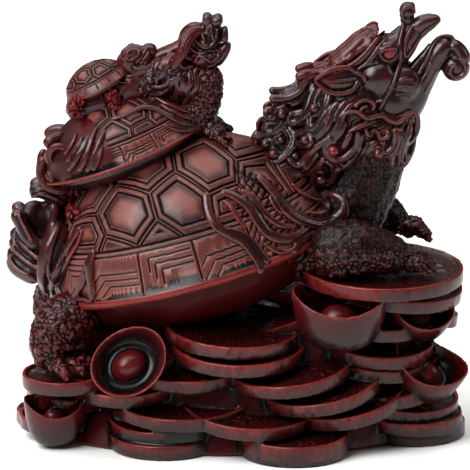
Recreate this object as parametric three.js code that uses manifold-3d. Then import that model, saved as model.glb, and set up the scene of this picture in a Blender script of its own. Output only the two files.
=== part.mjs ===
// A cast resin figure: a dragon turtle on a heap of coins and ingots, with a smaller dragon turtle
// on its shell and a plain turtle on that one. The whole figure is one casting, so it is one solid.
// Millimetres, +Z up, +X towards the heads, origin at the middle of the flat underside.
import * as THREE from "three";
import { mergeVertices } from "three/addons/utils/BufferGeometryUtils.js";
import Module from "manifold-3d";

const wasm = await Module();
wasm.setup();

// The mound inside the heap, higher at the front than at the rear.
const MOUND = {
  length: 124,
  width: 66,
  topLength: 100,
  topWidth: 44,
  rearHeight: 21,
  frontHeight: 50,
};

// Coins have a raised rim round a sunken face.
const COIN_THICKNESS = 4.4;
const COIN_RIM = 1.7;
const COIN_RELIEF = 0.8;

// Ingots are boat-shaped with a dome inside: shares of their own length.
const INGOT_WIDTH_SHARE = 0.82;
const INGOT_HEIGHT_SHARE = 0.56;
const INGOT_DOME_SHARE = 0.82;

// Rings of an ingot from its underside to its dome: the share of the outline, the share of the
// height at the sides, and what the raised ends add to that.
const INGOT_RINGS = [
  [0.6, 0, 0],
  [1, 0.7, 0.3],
  [0.9, 0.72, 0.28],
  [0.64, 0.42, 0.06],
  [0.36, 0.7, 0],
];

// Heights of the undersides of the coins that the front and rear feet stand on.
const FRONT_FOOTING = 53.4;
const REAR_FOOTING = 20.5;

// The near side's coins: the middle of the underside, the radius, and the lean about X then Y.
const NEAR_COINS = [
  { at: [19, -28, 0], radius: 17.7, lean: [2, 0], thick: 1.6 },
  { at: [-23, -20.5, 0], radius: 17.5, lean: [0, 0] },
  { at: [-22, -18, 5], radius: 18.5, lean: [5, -3], thick: 1.2 },
  { at: [-17, -14, 12.5], radius: 24.5, lean: [8, 0] },
  { at: [4, -21, 10], radius: 21.5, lean: [7, 4] },
  { at: [36, -18, 12.5], radius: 19, lean: [9, -9] },
  { at: [28, -20, 18], radius: 20, lean: [9, -9] },
  { at: [18, -21, 23.5], radius: 20, lean: [7, -6] },
  { at: [1, -19, 30], radius: 21.5, lean: [6, 1] },
  { at: [-1, -16, 35], radius: 22, lean: [5, 3] },
  { at: [-35, -11, 19], radius: 20, lean: [12, -2] },
  { at: [-33, -9, 26], radius: 19, lean: [8, -4] },
  { at: [-14, -14, 24], radius: 20, lean: [10, -2] },
  { at: [57, -5, 0], radius: 17.5, lean: [0, 0] },
  { at: [56, -7, 4.4], radius: 17.3, lean: [3, 3] },
  { at: [55, -5, 9.5], radius: 17, lean: [8, 6] },
  { at: [50, -10, 15.5], radius: 17, lean: [8, -4] },
  { at: [48, -10, 24], radius: 17.5, lean: [6, 2] },
  { at: [46, -12, 30], radius: 18, lean: [8, 4] },
  { at: [45, -10, 38], radius: 19, lean: [5, 4] },
  { at: [60, 6, 34], radius: 12, lean: [-6, 8] },
  { at: [49, -8, 48.5], radius: 24, lean: [3, 8] },
  { at: [47, -12, FRONT_FOOTING], radius: 26.4, lean: [2, 1] },
  { at: [-55, -21, REAR_FOOTING], radius: 13.4, lean: [2, -1] },
  { at: [-57, -8, 4], radius: 12.5, lean: [4, -4] },
  { at: [-54, -10, 12], radius: 13, lean: [4, 3] },
];

// The near side's ingots: the same, with the length for the radius, and the turn about their axis.
const NEAR_INGOTS = [
  { at: [-34, -27, 27], length: 26, lean: [62, 0], turn: 38 },
  { at: [-58, -20, 1.5], length: 20, lean: [14, 0], turn: 10, tall: 1.5 },
  { at: [33, -28, 36], length: 31, lean: [8, 2], turn: 0, tall: 1.1 },
  { at: [58, -17, 37], length: 21, lean: [26, 14], turn: 15 },
  { at: [59, -16, 18], length: 25, lean: [28, 20], turn: -10, tall: 1.1 },
];

// The far side: layers of coins round the back with an ingot among them, and a stack on top.
const FAR_LAYERS = [
  { z: 0, reach: [56, 29], radius: 16.5, count: 5, ingotAt: 2 },
  { z: 8, reach: [52, 26], radius: 17, count: 5, ingotAt: 3 },
  { z: 16, reach: [46, 23], radius: 17.5, count: 4, ingotAt: 1 },
];
const FAR_STACK = { x: [8, 42], y: [15, 13], z: [24, 48], radius: [22, 24], count: 4 };
const FAR_FOOT_COIN = { at: [-54, 20, REAR_FOOTING], radius: 13.4, lean: [-2, -1] };
const FAR_INGOT = { at: [-30, 26, 22], length: 24, lean: [-40, 0], turn: 20 };

// The dome of a shell: its curve, and the places of its border, lip and scutes as shares.
const DOME_POWER = 0.62;
const BORDER = 0.903;
const LIP_SHARE = 0.065;
const SCUTE_SHARE = 0.194;
const SCUTE_SHIFT = -0.1;
const ARC_STEPS = 40;

// A scute from its groove to its middle: the share of its outline, and the height as a share of
// the relief, which is a share of the shell's length.
const RELIEF_SHARE = 0.011;
const FRAMED_SCUTE = [
  [1, -1],
  [0.84, 1],
  [0.62, 1],
  [0.54, 0],
  [0, 1],
];
const PLAIN_SCUTE = [
  [1, -1],
  [0.8, 1.2],
  [0, 0.6],
];

// A shell's edge outside the scutes: shares of the outline, heights over the dome as shares of the
// relief, and drops below the rim's plane as shares of the lip.
const MARGIN = [
  [BORDER, -1, 0],
  [BORDER + 0.014, 1, 0],
  [BORDER + 0.03, 1, 0],
  [BORDER + 0.042, -0.6, 0],
  [1.02, 0, 0.2],
  [1.03, 0, 1.2],
  [0.9, 0, 1.5],
  [0, 0, 1.5],
];

// The head and mane are drawn at this length of skull, and scaled from it.
const DRAWN_SKULL = 24;
const MANE = {
  spread: 150,
  topLength: 36,
  throatLength: 16,
  faceRadius: 10.5,
  topRadius: 15.5,
  sideRadius: 17,
  throatRadius: 23,
  sag: 2,
  lockWidth: 2.9,
  bossRadius: 3.7,
  wave: 8,
};

// Locks that stream over a shell like flames: shares of its half length and half width, and the
// lift in millimetres on the biggest shell.
const FLAME_SHARE = 0.033;
const FLAME_FLATNESS = 0.6;
const HOOKED_FLAME = [
  [0.3, -0.44, 0.8],
  [0.46, -0.53, 1.2],
  [0.6, -0.535, 1.6],
  [0.7, -0.585, 1.8],
  [0.8, -0.52, 2],
  [0.9, -0.34, 3],
  [0.97, -0.2, 6],
  [0.94, -0.1, 9],
];
const STREAMING_FLAMES = [
  HOOKED_FLAME,
  [
    [0.16, -0.62, 0.8],
    [0.4, -0.69, 1.2],
    [0.52, -0.77, 1.4],
    [0.61, -0.75, 1.6],
    [0.7, -0.68, 1.8],
    [0.8, -0.54, 1.8],
  ],
  [
    [0.3, -0.66, 0.8],
    [0.48, -0.67, 1.2],
    [0.58, -0.72, 1.6],
    [0.7, -0.63, 2],
    [0.86, -0.44, 2],
    [0.98, -0.3, 2],
  ],
];
const HANGING_FLAMES = [
  [
    [0.12, -0.64, 0.8],
    [0.2, -0.78, 1.2],
    [0.28, -0.88, 1.6],
    [0.4, -0.93, 1.6],
    [0.5, -0.97, 1],
    [0.56, -1, -5],
  ],
  [
    [0.24, -0.8, 0.8],
    [0.38, -0.86, 1.4],
    [0.5, -0.88, 1.6],
    [0.62, -0.86, 1],
    [0.7, -0.82, -5],
  ],
];
const REAR_FLAMES = [
  [
    [-0.6, -0.3, 1],
    [-0.75, -0.27, 2],
    [-0.88, -0.18, 3],
    [-0.98, -0.2, 3],
    [-1.04, -0.26, -3],
    [-1.02, -0.3, -9],
  ],
  [
    [-0.62, -0.4, 1],
    [-0.76, -0.4, 1.6],
    [-0.88, -0.36, 2],
    [-0.95, -0.42, 1],
    [-0.98, -0.46, -6],
  ],
  [
    [-0.6, -0.52, 1],
    [-0.72, -0.53, 1.6],
    [-0.82, -0.55, 2],
    [-0.88, -0.6, 0.6],
    [-0.9, -0.62, -6],
  ],
  [
    [-0.6, -0.62, 0.8],
    [-0.66, -0.68, 1.4],
    [-0.72, -0.72, 1.2],
    [-0.76, -0.76, 0],
    [-0.78, -0.76, -5],
  ],
];

// The turtles. Length, width and height are their shells' real sizes. The places of the neck, head
// and tail are measured from the middle of the shell's rim, and are shares of the shell's length,
// as the widths are. A place that stands on something else is named where it is used.
const BIG = {
  length: 96,
  width: 74,
  height: 40,
  pitch: 15.6,
  centre: [-13, 0, 58.5],
  borderSides: 28,
  profile: FRAMED_SCUTE,
  skullShare: 0.25,
  headPitch: 45,
  head: [0.64, 0, 0.619],
  neck: [
    [0.344, 0, 0.016],
    [0.479, 0, 0.109],
    [0.557, 0, 0.234],
    [0.599, 0, 0.38],
    [0.609, 0, 0.516],
  ],
  neckWidths: [0.141, 0.127, 0.115],
  tail: [
    [-0.542, -0.073, 0.193],
    [-0.542, 0.073, 0.193],
    [-0.589, 0, 0.12],
    [-0.573, -0.115, 0.036],
    [-0.573, 0.115, 0.036],
    [-0.594, -0.03, -0.026],
    [-0.552, -0.09, -0.089],
    [-0.552, 0.085, -0.089],
  ],
  flames: [...STREAMING_FLAMES, ...HANGING_FLAMES, ...REAR_FLAMES],
  maneRows: [{ count: 9, reach: 0.6 }, { count: 12, reach: 1 }],
  fineness: 1,
  trimmed: true,
};
const MIDDLE = {
  length: 55,
  width: 41,
  height: 17,
  pitch: 21,
  perch: [-0.267, 0, 1.5],
  borderSides: 20,
  profile: PLAIN_SCUTE,
  skullShare: 0.205,
  headPitch: 62,
  head: [0.498, 0, 0.58],
  neck: [
    [0.255, 0, 0.067],
    [0.4, 0, 0.158],
    [0.462, 0, 0.285],
    [0.48, 0, 0.413],
    [0.48, 0, 0.522],
  ],
  neckWidths: [0.124, 0.116, 0.098],
  tail: [
    [-0.445, -0.09, 0.03],
    [-0.445, 0.09, 0.03],
    [-0.49, 0, -0.06],
    [-0.464, -0.11, -0.16],
    [-0.464, 0.11, -0.16],
  ],
  flames: [...STREAMING_FLAMES, ...REAR_FLAMES],
  maneRows: [{ count: 9, reach: 0.95 }],
  fineness: 0.8,
  trimmed: false,
};
const SMALL = {
  length: 22.5,
  width: 18,
  height: 7.5,
  pitch: 28.4,
  perch: [0.013, 0, 5.7],
  borderSides: 16,
  profile: PLAIN_SCUTE,
  headPitch: 14,
  head: [0.551, 0, 0.409],
  headRadii: [0.249, 0.164, 0.147],
  neck: [[-0.098, 0, -0.116], [0.258, 0, 0.084], [0.391, 0, 0.218], [0.48, 0, 0.356]],
  neckWidths: [0.169, 0.133, 0.124],
};

// Legs, from hip to foot. The big turtle's joints are places along and across from the middle of
// its rim, and heights over the coin they stand on, as shares of its shell's length.
const BIG_LEGS = [
  {
    footing: FRONT_FOOTING,
    joints: [[0.385, -0.23, 0.052], [0.53, -0.26, 0.094], [0.646, -0.25, 0.068], [0.7, -0.22, 0.027]],
    widths: [0.094, 0.098, 0.056],
    toes: [1, -0.1, 0],
  },
  {
    footing: REAR_FOOTING,
    joints: [[-0.323, -0.23, 0.27], [-0.458, -0.26, 0.2], [-0.479, -0.25, 0.083], [-0.448, -0.24, 0.026]],
    widths: [0.104, 0.1, 0.069],
    toes: [0.8, -0.6, 0],
  },
];

// The middle turtle's joints lie over the big shell, as the flames do. Its widths are shares of its
// own shell's length.
const MIDDLE_LEGS = [
  {
    joints: [[0.12, -0.26, 8], [0.26, -0.3, 7], [0.38, -0.3, 4], [0.46, -0.27, 1.6]],
    widths: [0.087, 0.08, 0.051],
    toes: [1, 0, -0.25],
  },
  {
    joints: [[-0.72, -0.4, 9], [-0.76, -0.5, 7], [-0.72, -0.52, 3.4], [-0.66, -0.52, 1.4]],
    widths: [0.091, 0.087, 0.058],
    toes: [0.9, -0.3, 0.1],
  },
];

// Corners closer than this are one corner, and the casting is thinned to this many triangles.
const WELD = 0.002;
const TRIANGLES = 9900;

const { degToRad, lerp, mapLinear } = THREE.MathUtils;
const vec = (x, y, z) => new THREE.Vector3(x, y, z);
const circle = (count, start = 0) => Array.from({ length: count }, (_, i) => start + (2 * Math.PI * i) / count);

// A closed three.js geometry as a solid that can be joined and cut, its faces pointing outwards.
function solid(geometry, tolerance = 1e-4) {
  const bare = geometry.clone();
  bare.deleteAttribute("normal");
  bare.deleteAttribute("uv");
  const merged = mergeVertices(bare, tolerance);
  const index = merged.index.array;
  const triangles = [];
  for (let i = 0; i < index.length; i += 3) {
    const [a, b, c] = [index[i], index[i + 1], index[i + 2]];
    if (a !== b && b !== c && c !== a) triangles.push(a, b, c);
  }
  const mesh = new wasm.Mesh({
    numProp: 3,
    vertProperties: merged.attributes.position.array,
    triVerts: new Uint32Array(triangles),
  });
  return new wasm.Manifold(mesh);
}

// A closed skin from rings of points, with a point at each end.
function skin(startPole, rings, endPole) {
  const points = [startPole, ...rings.flat(), endPole];
  const count = rings[0].length;
  const at = (ring, i) => 1 + ring * count + (i % count);
  const last = points.length - 1;
  const faces = [];
  for (let i = 0; i < count; i++) {
    faces.push(0, at(0, i + 1), at(0, i));
    for (let ring = 0; ring + 1 < rings.length; ring++) {
      faces.push(at(ring, i), at(ring, i + 1), at(ring + 1, i));
      faces.push(at(ring, i + 1), at(ring + 1, i + 1), at(ring + 1, i));
    }
    faces.push(last, at(rings.length - 1, i), at(rings.length - 1, i + 1));
  }
  let volume = 0;
  for (let i = 0; i < faces.length; i += 3) {
    const [a, b, c] = [points[faces[i]], points[faces[i + 1]], points[faces[i + 2]]];
    volume += a.dot(b.clone().cross(c));
  }
  if (volume < 0) faces.reverse();
  const geometry = new THREE.BufferGeometry().setFromPoints(points);
  geometry.setIndex(faces);
  return solid(geometry);
}

// An ellipsoid at a centre, turned about Y by a pitch that lifts its +X end.
function ball(centre, radii, { sides = 12, rows = 8, pitch = 0 } = {}) {
  const geometry = new THREE.SphereGeometry(1, sides, rows);
  geometry.scale(...radii);
  geometry.rotateY(-degToRad(pitch));
  geometry.translate(centre.x, centre.y, centre.z);
  return solid(geometry);
}

// A closed tube along a smooth path. Its half width is widthAt(t), and its thickness is flat times
// that, measured along outAt(point), the way that the surface under it faces.
function tube(path, widthAt, { sides = 6, steps = 10, flat = 1, outAt = () => vec(0, 1, 0) } = {}) {
  const curve = new THREE.CatmullRomCurve3(path);
  const rings = Array.from({ length: steps + 1 }, (_, i) => {
    const point = curve.getPoint(i / steps);
    const along = curve.getTangent(i / steps);
    const across = along.clone().cross(outAt(point)).normalize();
    const out = across.clone().cross(along).normalize();
    const width = widthAt(i / steps);
    return circle(sides, Math.PI / 2).map((angle) =>
      point
        .clone()
        .addScaledVector(across, width * Math.cos(angle))
        .addScaledVector(out, width * flat * Math.sin(angle)),
    );
  });
  const end = curve.getPoint(1).addScaledVector(curve.getTangent(1), widthAt(1) * 0.6);
  return skin(curve.getPoint(0), rings, end);
}

// A half width that goes from its root to its middle at a share of the length, and on to its tip.
const taper = ([root, middle, tip], peak = 0.45, scale = 1) => (t) =>
  scale * (t < peak ? mapLinear(t, 0, peak, root, middle) : mapLinear(t, peak, 1, middle, tip));

// How a coin or ingot is put in its place: turned about its axis, leaned about X then Y, and moved.
const placing = ({ at, lean: [aboutX, aboutY], turn = 0 }) =>
  new THREE.Matrix4()
    .makeRotationFromEuler(new THREE.Euler(degToRad(aboutX), degToRad(aboutY), 0, "YXZ"))
    .multiply(new THREE.Matrix4().makeRotationZ(degToRad(turn)))
    .setPosition(...at);

function coin({ radius, thick = 1, ...place }, sides = 22) {
  const top = COIN_THICKNESS * thick;
  const inner = radius - COIN_RIM;
  const outline = [
    [0, 0],
    [radius, 0],
    [radius, top],
    [inner, top],
    [inner - COIN_RELIEF, top - COIN_RELIEF],
    [0, top - COIN_RELIEF],
  ].map(([r, z]) => new THREE.Vector2(r, z));
  const geometry = new THREE.LatheGeometry(outline, sides).rotateX(Math.PI / 2);
  return solid(geometry.applyMatrix4(placing(place)));
}

function ingot({ length, tall = 1, ...place }, sides = 18) {
  const half = [length / 2, (length * INGOT_WIDTH_SHARE) / 2];
  const height = length * INGOT_HEIGHT_SHARE * tall;
  const matrix = placing(place);
  const put = (x, y, z) => vec(x, y, z).applyMatrix4(matrix);
  const rings = INGOT_RINGS.map(([share, side, end]) =>
    circle(sides).map((angle) => {
      const rise = side + end * Math.cos(angle) ** 2;
      return put(half[0] * share * Math.cos(angle), half[1] * share * Math.sin(angle), height * rise);
    }),
  );
  return skin(put(0, 0, 0), rings, put(0, 0, height * INGOT_DOME_SHARE));
}

// Height of the mound's slanted top at a place along X.
function moundTop(x) {
  const end = MOUND.topLength / 2;
  return mapLinear(x, -end, end, MOUND.rearHeight, MOUND.frontHeight);
}

function mound(sides = 20) {
  const ring = (share) => {
    const length = lerp(MOUND.length, MOUND.topLength, share);
    const width = lerp(MOUND.width, MOUND.topWidth, share);
    return circle(sides).map((angle) => {
      const x = (length / 2) * Math.cos(angle);
      return vec(x, (width / 2) * Math.sin(angle), share * moundTop(x));
    });
  };
  return skin(vec(0, 0, 0), [ring(0), ring(0.5), ring(1)], vec(0, 0, moundTop(0)));
}

// The far side's layers run round the back from the front end to the rear end.
function farSide() {
  const pieces = [coin(FAR_FOOT_COIN), ingot(FAR_INGOT)];
  for (const { z, reach, radius, count, ingotAt } of FAR_LAYERS) {
    for (let i = 0; i < count; i++) {
      const angle = degToRad(mapLinear(i, 0, count - 1, 12, 168));
      const at = [reach[0] * Math.cos(angle), reach[1] * Math.sin(angle), z];
      if (i === ingotAt) pieces.push(ingot({ at, length: radius * 1.5, lean: [-22, 0], turn: i * 40 }));
      else pieces.push(coin({ at, radius, lean: [-3 - (i % 2) * 4, 2 * (i % 3)] }));
    }
  }
  for (let i = 0; i < FAR_STACK.count; i++) {
    const between = ([from, to]) => lerp(from, to, i / (FAR_STACK.count - 1));
    const at = [between(FAR_STACK.x), between(FAR_STACK.y), between(FAR_STACK.z)];
    pieces.push(coin({ at, radius: between(FAR_STACK.radius), lean: [-6, between([-2, 2])] }));
  }
  return pieces;
}

function heap() {
  const coins = NEAR_COINS.map((spec) => coin(spec));
  const ingots = NEAR_INGOTS.map((spec) => ingot(spec));
  return [mound(), ...coins, ...ingots, ...farSide()];
}

// The dome of a shell: points on it, the way out of it, and its scutes.
class Shell {
  constructor({ length, width, height, centre, pitch, borderSides, profile }) {
    this.half = [length / 2, width / 2];
    this.height = height;
    this.length = length;
    this.pitch = pitch;
    this.borderSides = borderSides;
    this.profile = profile;
    this.relief = length * RELIEF_SHARE;
    this.frame = new THREE.Matrix4().makeRotationY(-degToRad(pitch)).setPosition(...centre);
    this.arcs = this.measureArcs();
  }

  // Arc lengths from the crown to even shares of the outline, in mean half widths.
  measureArcs() {
    const mean = (this.half[0] + this.half[1]) / 2;
    const arcs = [0];
    for (let i = 1; i <= ARC_STEPS; i++) {
      const climb = this.rise((i - 1) / ARC_STEPS) - this.rise(i / ARC_STEPS);
      arcs.push(arcs[i - 1] + Math.hypot(1 / ARC_STEPS, climb / mean));
    }
    return arcs;
  }

  // Height above the rim's plane at a share of the outline: a dome, and a straight margin.
  rise(share) {
    const edge = (1 - BORDER ** 2) ** DOME_POWER;
    if (share < BORDER) return this.height * (1 - share ** 2) ** DOME_POWER;
    return mapLinear(share, BORDER, 1, this.height * edge, 0);
  }

  // The way out of the dome in its own frame, at shares of its half length and half width.
  localOut(along, across) {
    const steepest = 0.12;
    const up = Math.max(steepest, this.rise(Math.hypot(along, across)) / this.height) / this.height;
    return vec(along / this.half[0], across / this.half[1], up).normalize();
  }

  // A point over the dome.
  point(along, across, lift = 0) {
    const p = vec(along * this.half[0], across * this.half[1], this.rise(Math.hypot(along, across)));
    return p.addScaledVector(this.localOut(along, across), lift).applyMatrix4(this.frame);
  }

  // The way out at a point near the dome, in the figure's frame.
  outAt(point) {
    const local = point.clone().applyMatrix4(this.frame.clone().invert());
    return this.localOut(local.x / this.half[0], local.y / this.half[1]).transformDirection(this.frame);
  }

  borderAngle(index) {
    return (2 * Math.PI * index) / this.borderSides;
  }

  // The place on the dome of a point on its unrolled surface, in millimetres from the crown. A
  // place past the border, or close to it, moves to the nearest of the border's own points.
  unrolled(u, v) {
    const angle = Math.atan2(v / this.half[1], u / this.half[0]);
    const reach = Math.hypot(this.half[0] * Math.cos(angle), this.half[1] * Math.sin(angle));
    const away = Math.hypot(u, v) / reach;
    const past = this.arcs.findIndex((arc) => arc > away);
    const step = past < 0 ? ARC_STEPS : mapLinear(away, this.arcs[past - 1], this.arcs[past], past - 1, past);
    const share = step / ARC_STEPS;
    if (share < BORDER * 0.95) {
      return { along: share * Math.cos(angle), across: share * Math.sin(angle), border: null };
    }
    const index = Math.round((angle / (2 * Math.PI)) * this.borderSides + this.borderSides) % this.borderSides;
    const at = this.borderAngle(index);
    return { along: BORDER * Math.cos(at), across: BORDER * Math.sin(at), border: index };
  }

  // The corners of each scute, in rows of six-sided cells, with those past the border drawn in to
  // it, and without cells that are all border.
  cells() {
    const width = this.length * SCUTE_SHARE;
    const size = width / Math.sqrt(3);
    const cells = [];
    for (let row = -4; row <= 4; row++) {
      for (let column = -5; column <= 5; column++) {
        const u = (column + (row % 2 ? 0.5 : 0) + SCUTE_SHIFT) * width;
        const v = row * size * 1.5;
        const corners = circle(6, Math.PI / 6).map((angle) =>
          this.unrolled(u + size * Math.cos(angle), v + size * Math.sin(angle)),
        );
        if (corners.every(({ border }) => border !== null)) continue;
        const isLast = (i) => corners[i].border !== corners[(i + 1) % 6].border;
        cells.push(corners.filter(({ border }, i) => border === null || isLast(i)));
      }
    }
    return cells;
  }

  // Rings of one scute, from its outline in to its middle.
  scuteRings(cell) {
    const mean = (key) => cell.reduce((sum, corner) => sum + corner[key], 0) / cell.length;
    const middle = [mean("along"), mean("across")];
    return this.profile.map(([share, lift]) =>
      cell.map(({ along, across }) =>
        this.point(lerp(middle[0], along, share), lerp(middle[1], across, share), lift * this.relief),
      ),
    );
  }

  // A ring of the margin, through the border points that the scutes use.
  marginRing([share, lift, drop], angles) {
    const lip = this.height * LIP_SHARE;
    return angles.map((angle) => {
      const [along, across] = [share * Math.cos(angle), share * Math.sin(angle)];
      if (drop === 0) return this.point(along, across, lift * this.relief);
      return vec(along * this.half[0], across * this.half[1], -lip * drop).applyMatrix4(this.frame);
    });
  }

  // The shell as one closed surface: framed scutes, a raised border, a flared margin and a lip.
  solid() {
    const triangles = [];
    const join = (outer, inner) => {
      outer.forEach((corner, i) => {
        const next = (i + 1) % outer.length;
        triangles.push(corner, outer[next], inner[next], corner, inner[next], inner[i]);
      });
    };
    const cells = this.cells();
    for (const cell of cells) {
      const rings = this.scuteRings(cell);
      rings.slice(1).forEach((ring, i) => join(rings[i], ring));
    }
    const used = new Set(cells.flat().map(({ border }) => border));
    used.delete(null);
    const angles = [...used].sort((a, b) => a - b).map((index) => this.borderAngle(index));
    const rings = MARGIN.map((ring) => this.marginRing(ring, angles));
    rings.slice(1).forEach((ring, i) => join(ring, rings[i]));
    return solid(new THREE.BufferGeometry().setFromPoints(triangles));
  }

  // The soft underside, bulging below the rim.
  belly() {
    const radii = [this.half[0] * 0.9, this.half[1] * 0.88, this.height * 0.42];
    const centre = vec(0, 0, -this.height * 0.1).applyMatrix4(this.frame);
    return ball(centre, radii, { sides: 24, rows: 12, pitch: this.pitch });
  }
}

// A dragon's head with its mane, in a frame of its own: +x to the snout and +z to the crown, in
// millimetres at the drawn length of skull.
class Head {
  constructor(scale, centre, pitch, fineness) {
    this.scale = scale;
    this.pitch = pitch;
    this.fineness = fineness;
    this.frame = new THREE.Matrix4()
      .makeRotationY(-degToRad(pitch))
      .setPosition(centre)
      .scale(vec(scale, scale, scale));
  }

  at(x, y, z) {
    return vec(x, y, z).applyMatrix4(this.frame);
  }

  lump(centre, radii, sides = 10, rows = 6) {
    const scaled = radii.map((r) => r * this.scale);
    return ball(this.at(...centre), scaled, { pitch: this.pitch, sides, rows });
  }

  strand(points, widths, { side = 1, peak = 0.5, sides = 6, steps = 7, flat = 1 } = {}) {
    const path = points.map(([x, y, z]) => this.at(x, y * side, z));
    const count = Math.ceil(steps * this.fineness);
    return tube(path, taper(widths, peak, this.scale), { sides, steps: count, flat });
  }

  face() {
    const muzzle = [[-4, 0, 2.6], [6, 0, 4.4], [12, 0, 4.4], [18, 0, 3.2], [23, 0, 2.2]];
    const lowerJaw = [[-8, 0, -11], [1, 0, -10.6], [9, 0, -9.8], [16, 0, -8.6], [22.4, 0, -6.8]];
    return [
      this.lump([-3, 0, 2], [DRAWN_SKULL / 2, 10.6, 11.5], 16, 10),
      this.strand(muzzle, [9.4, 5.2, 2.9], { sides: 10, flat: 1.12 }),
      this.strand(lowerJaw, [5.4, 3.1, 2.2], { sides: 10, flat: 1.7 }),
      this.lump([19.4, 2.2, 10], [2.7, 2.8, 2.7]),
      this.lump([19.4, -2.2, 10], [2.7, 2.8, 2.7]),
      this.lump([17.4, 0, 7], [3.4, 4.4, 3.4]),
      this.lump([1, 0, -7], [6, 7.4, 5]),
    ];
  }

  features(side) {
    const horn = [[-4, 4, 11], [-12, 5.5, 14.5], [-20, 6.5, 14.6], [-27, 7.5, 16.2], [-32, 9, 20.5]];
    const brow = [[8.6, 3.6, 10.6], [5.4, 4, 13], [-1, 4.4, 13.6], [-8, 5, 13.2], [-14, 5.6, 13]];
    const ear = [[-7, 9.4, 5.6], [-10.4, 12, 9], [-13.4, 12.8, 13], [-16, 13.2, 16.6]];
    return [
      this.strand(horn, [3.4, 2.5, 2], { side, peak: 0.3 }),
      this.strand(brow, [3.4, 4.2, 3], { side, peak: 0.4 }),
      this.strand(ear, [1.6, 4.2, 0.9], { side, flat: 0.42 }),
      this.lump([6.2, 7 * side, 5.3], [2.9, 2.6, 2.8]),
      this.lump([-3.4, 8 * side, 2], [5.2, 4, 5.2]),
    ];
  }

  // The edges of the mouth, the long whisker and the bristles behind the jaw.
  trimmings(side) {
    const lip = [[22.6, 1.4, 0.8], [18, 4.2, 0], [12, 6.2, -0.8], [5, 7.4, -4.6]];
    const gum = [[21.6, 1.6, -5], [15.6, 3.8, -6.2], [9, 5.8, -7.4], [4, 7.4, -8.2]];
    const whisker = [[17, 4.4, 8.2], [12, 6.8, 6], [8.4, 8.6, 3], [3.8, 9.8, -2], [-2, 10.6, -4.6]];
    const end = [-11, 12, -6.8];
    const bristle = [[-2, 9.5, -11], [-8, 12.6, -10], [-14, 15, -12.6], [-21, 16, -9]];
    return [
      this.strand(lip, [1.4, 1.7, 1.4], { side }),
      this.strand(gum, [1.3, 1.5, 1.3], { side }),
      this.strand([...whisker, end], [1.1, 1.3, 1.1], { side, steps: 10 }),
      this.strand(bristle, [1.6, 2.2, 1.2], { side }),
    ];
  }

  // The chin tuft, which curls forwards and under.
  chinCurl() {
    const stalk = [[20.6, 0, -7], [23.8, 0, -8.4], [23.4, 0, -12], [20, 0, -13.4]];
    return [
      this.strand(stalk, [2.4, 2.4, 2.4], { sides: 8, flat: 1.7 }),
      this.lump([17.8, 0, -14.4], [4.5, 4.2, 4.5], 12, 8),
    ];
  }

  // The mane: a thick core, and rows of locks that fan back from the face.
  mane(rows) {
    const core = [[-2, 0, 0], [-12, 0, 1], [-24, 0, -2], [-35, 0, -3], [-43, 0, -3]];
    const low = [[-2, 0, -8], [-10, 0, -13], [-20, 0, -16], [-28, 0, -18]];
    const locks = rows.flatMap(({ count, reach }) =>
      Array.from({ length: count }, (_, i) =>
        this.lock(mapLinear(i, 0, count - 1, -MANE.spread, MANE.spread), reach),
      ),
    );
    return [
      this.strand(core, [10, 15.5, 8], { sides: 10 }),
      this.strand(low, [9, 13, 6], { sides: 10 }),
      ...locks.flat(),
    ];
  }

  // A place on the mane: turn is the angle round the head from the crown, and back is the share of
  // the way from the face to the tips. The mane swells behind the face and closes in at the tips.
  manePlace(turn, back, lift) {
    const angle = degToRad(turn);
    const low = (1 - Math.cos(angle)) / 2;
    const swell = Math.sin((Math.PI / 2) * Math.min(1, back * 1.2)) - 0.35 * Math.max(0, back - 0.75);
    const height = lerp(MANE.faceRadius, lerp(MANE.topRadius, MANE.throatRadius, low), swell) + lift;
    const width = lerp(MANE.faceRadius, MANE.sideRadius, swell) + lift;
    const behindFace = 5 + lerp(MANE.topLength, MANE.throatLength, low) * back;
    return this.at(-behindFace, width * Math.sin(angle), height * Math.cos(angle) - MANE.sag * back);
  }

  // A lock that waves from the face to the tips, with its end curled up into a boss.
  lock(turn, reach) {
    const wave = MANE.wave * (turn < 0 ? -1 : 1);
    const path = Array.from({ length: 6 }, (_, i) =>
      this.manePlace(turn + wave * Math.sin(1.35 * i), (reach * i) / 5, 0.5),
    );
    const heart = this.at(-20, 0, -4);
    const widths = [0.7, 1, 0.8].map((share) => share * MANE.lockWidth);
    const radius = MANE.bossRadius * this.scale;
    return [
      tube(path, taper(widths, 0.5, this.scale), {
        sides: 5,
        steps: Math.ceil(10 * this.fineness),
        outAt: (p) => p.clone().sub(heart).normalize(),
      }),
      ball(this.manePlace(turn + wave * 1.5, reach * 0.95, 1), [radius, radius, radius], { sides: 9, rows: 6 }),
    ];
  }
}

// A limb through its joints, with three claws that point the way of the toes.
function leg(path, widths, toes, scale, steps) {
  const foot = path[path.length - 1];
  const ahead = vec(...toes).normalize();
  const aside = ahead.clone().cross(vec(0, 0, 1)).normalize();
  const claws = [-1, 0, 1].map((place) => {
    const way = ahead.clone().addScaledVector(aside, place * 0.38).normalize();
    const root = foot.clone().addScaledVector(aside, place * 3.6 * scale);
    const reach = (out, up) => root.clone().addScaledVector(way, out * scale).add(vec(0, 0, up * scale));
    return tube([root, reach(5, 0.6), reach(9.5, -2)], taper([2.7, 2.3, 1], 0.45, scale), { steps: 4 });
  });
  return [tube(path, taper(widths), { sides: 10, steps }), ...claws];
}

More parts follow.
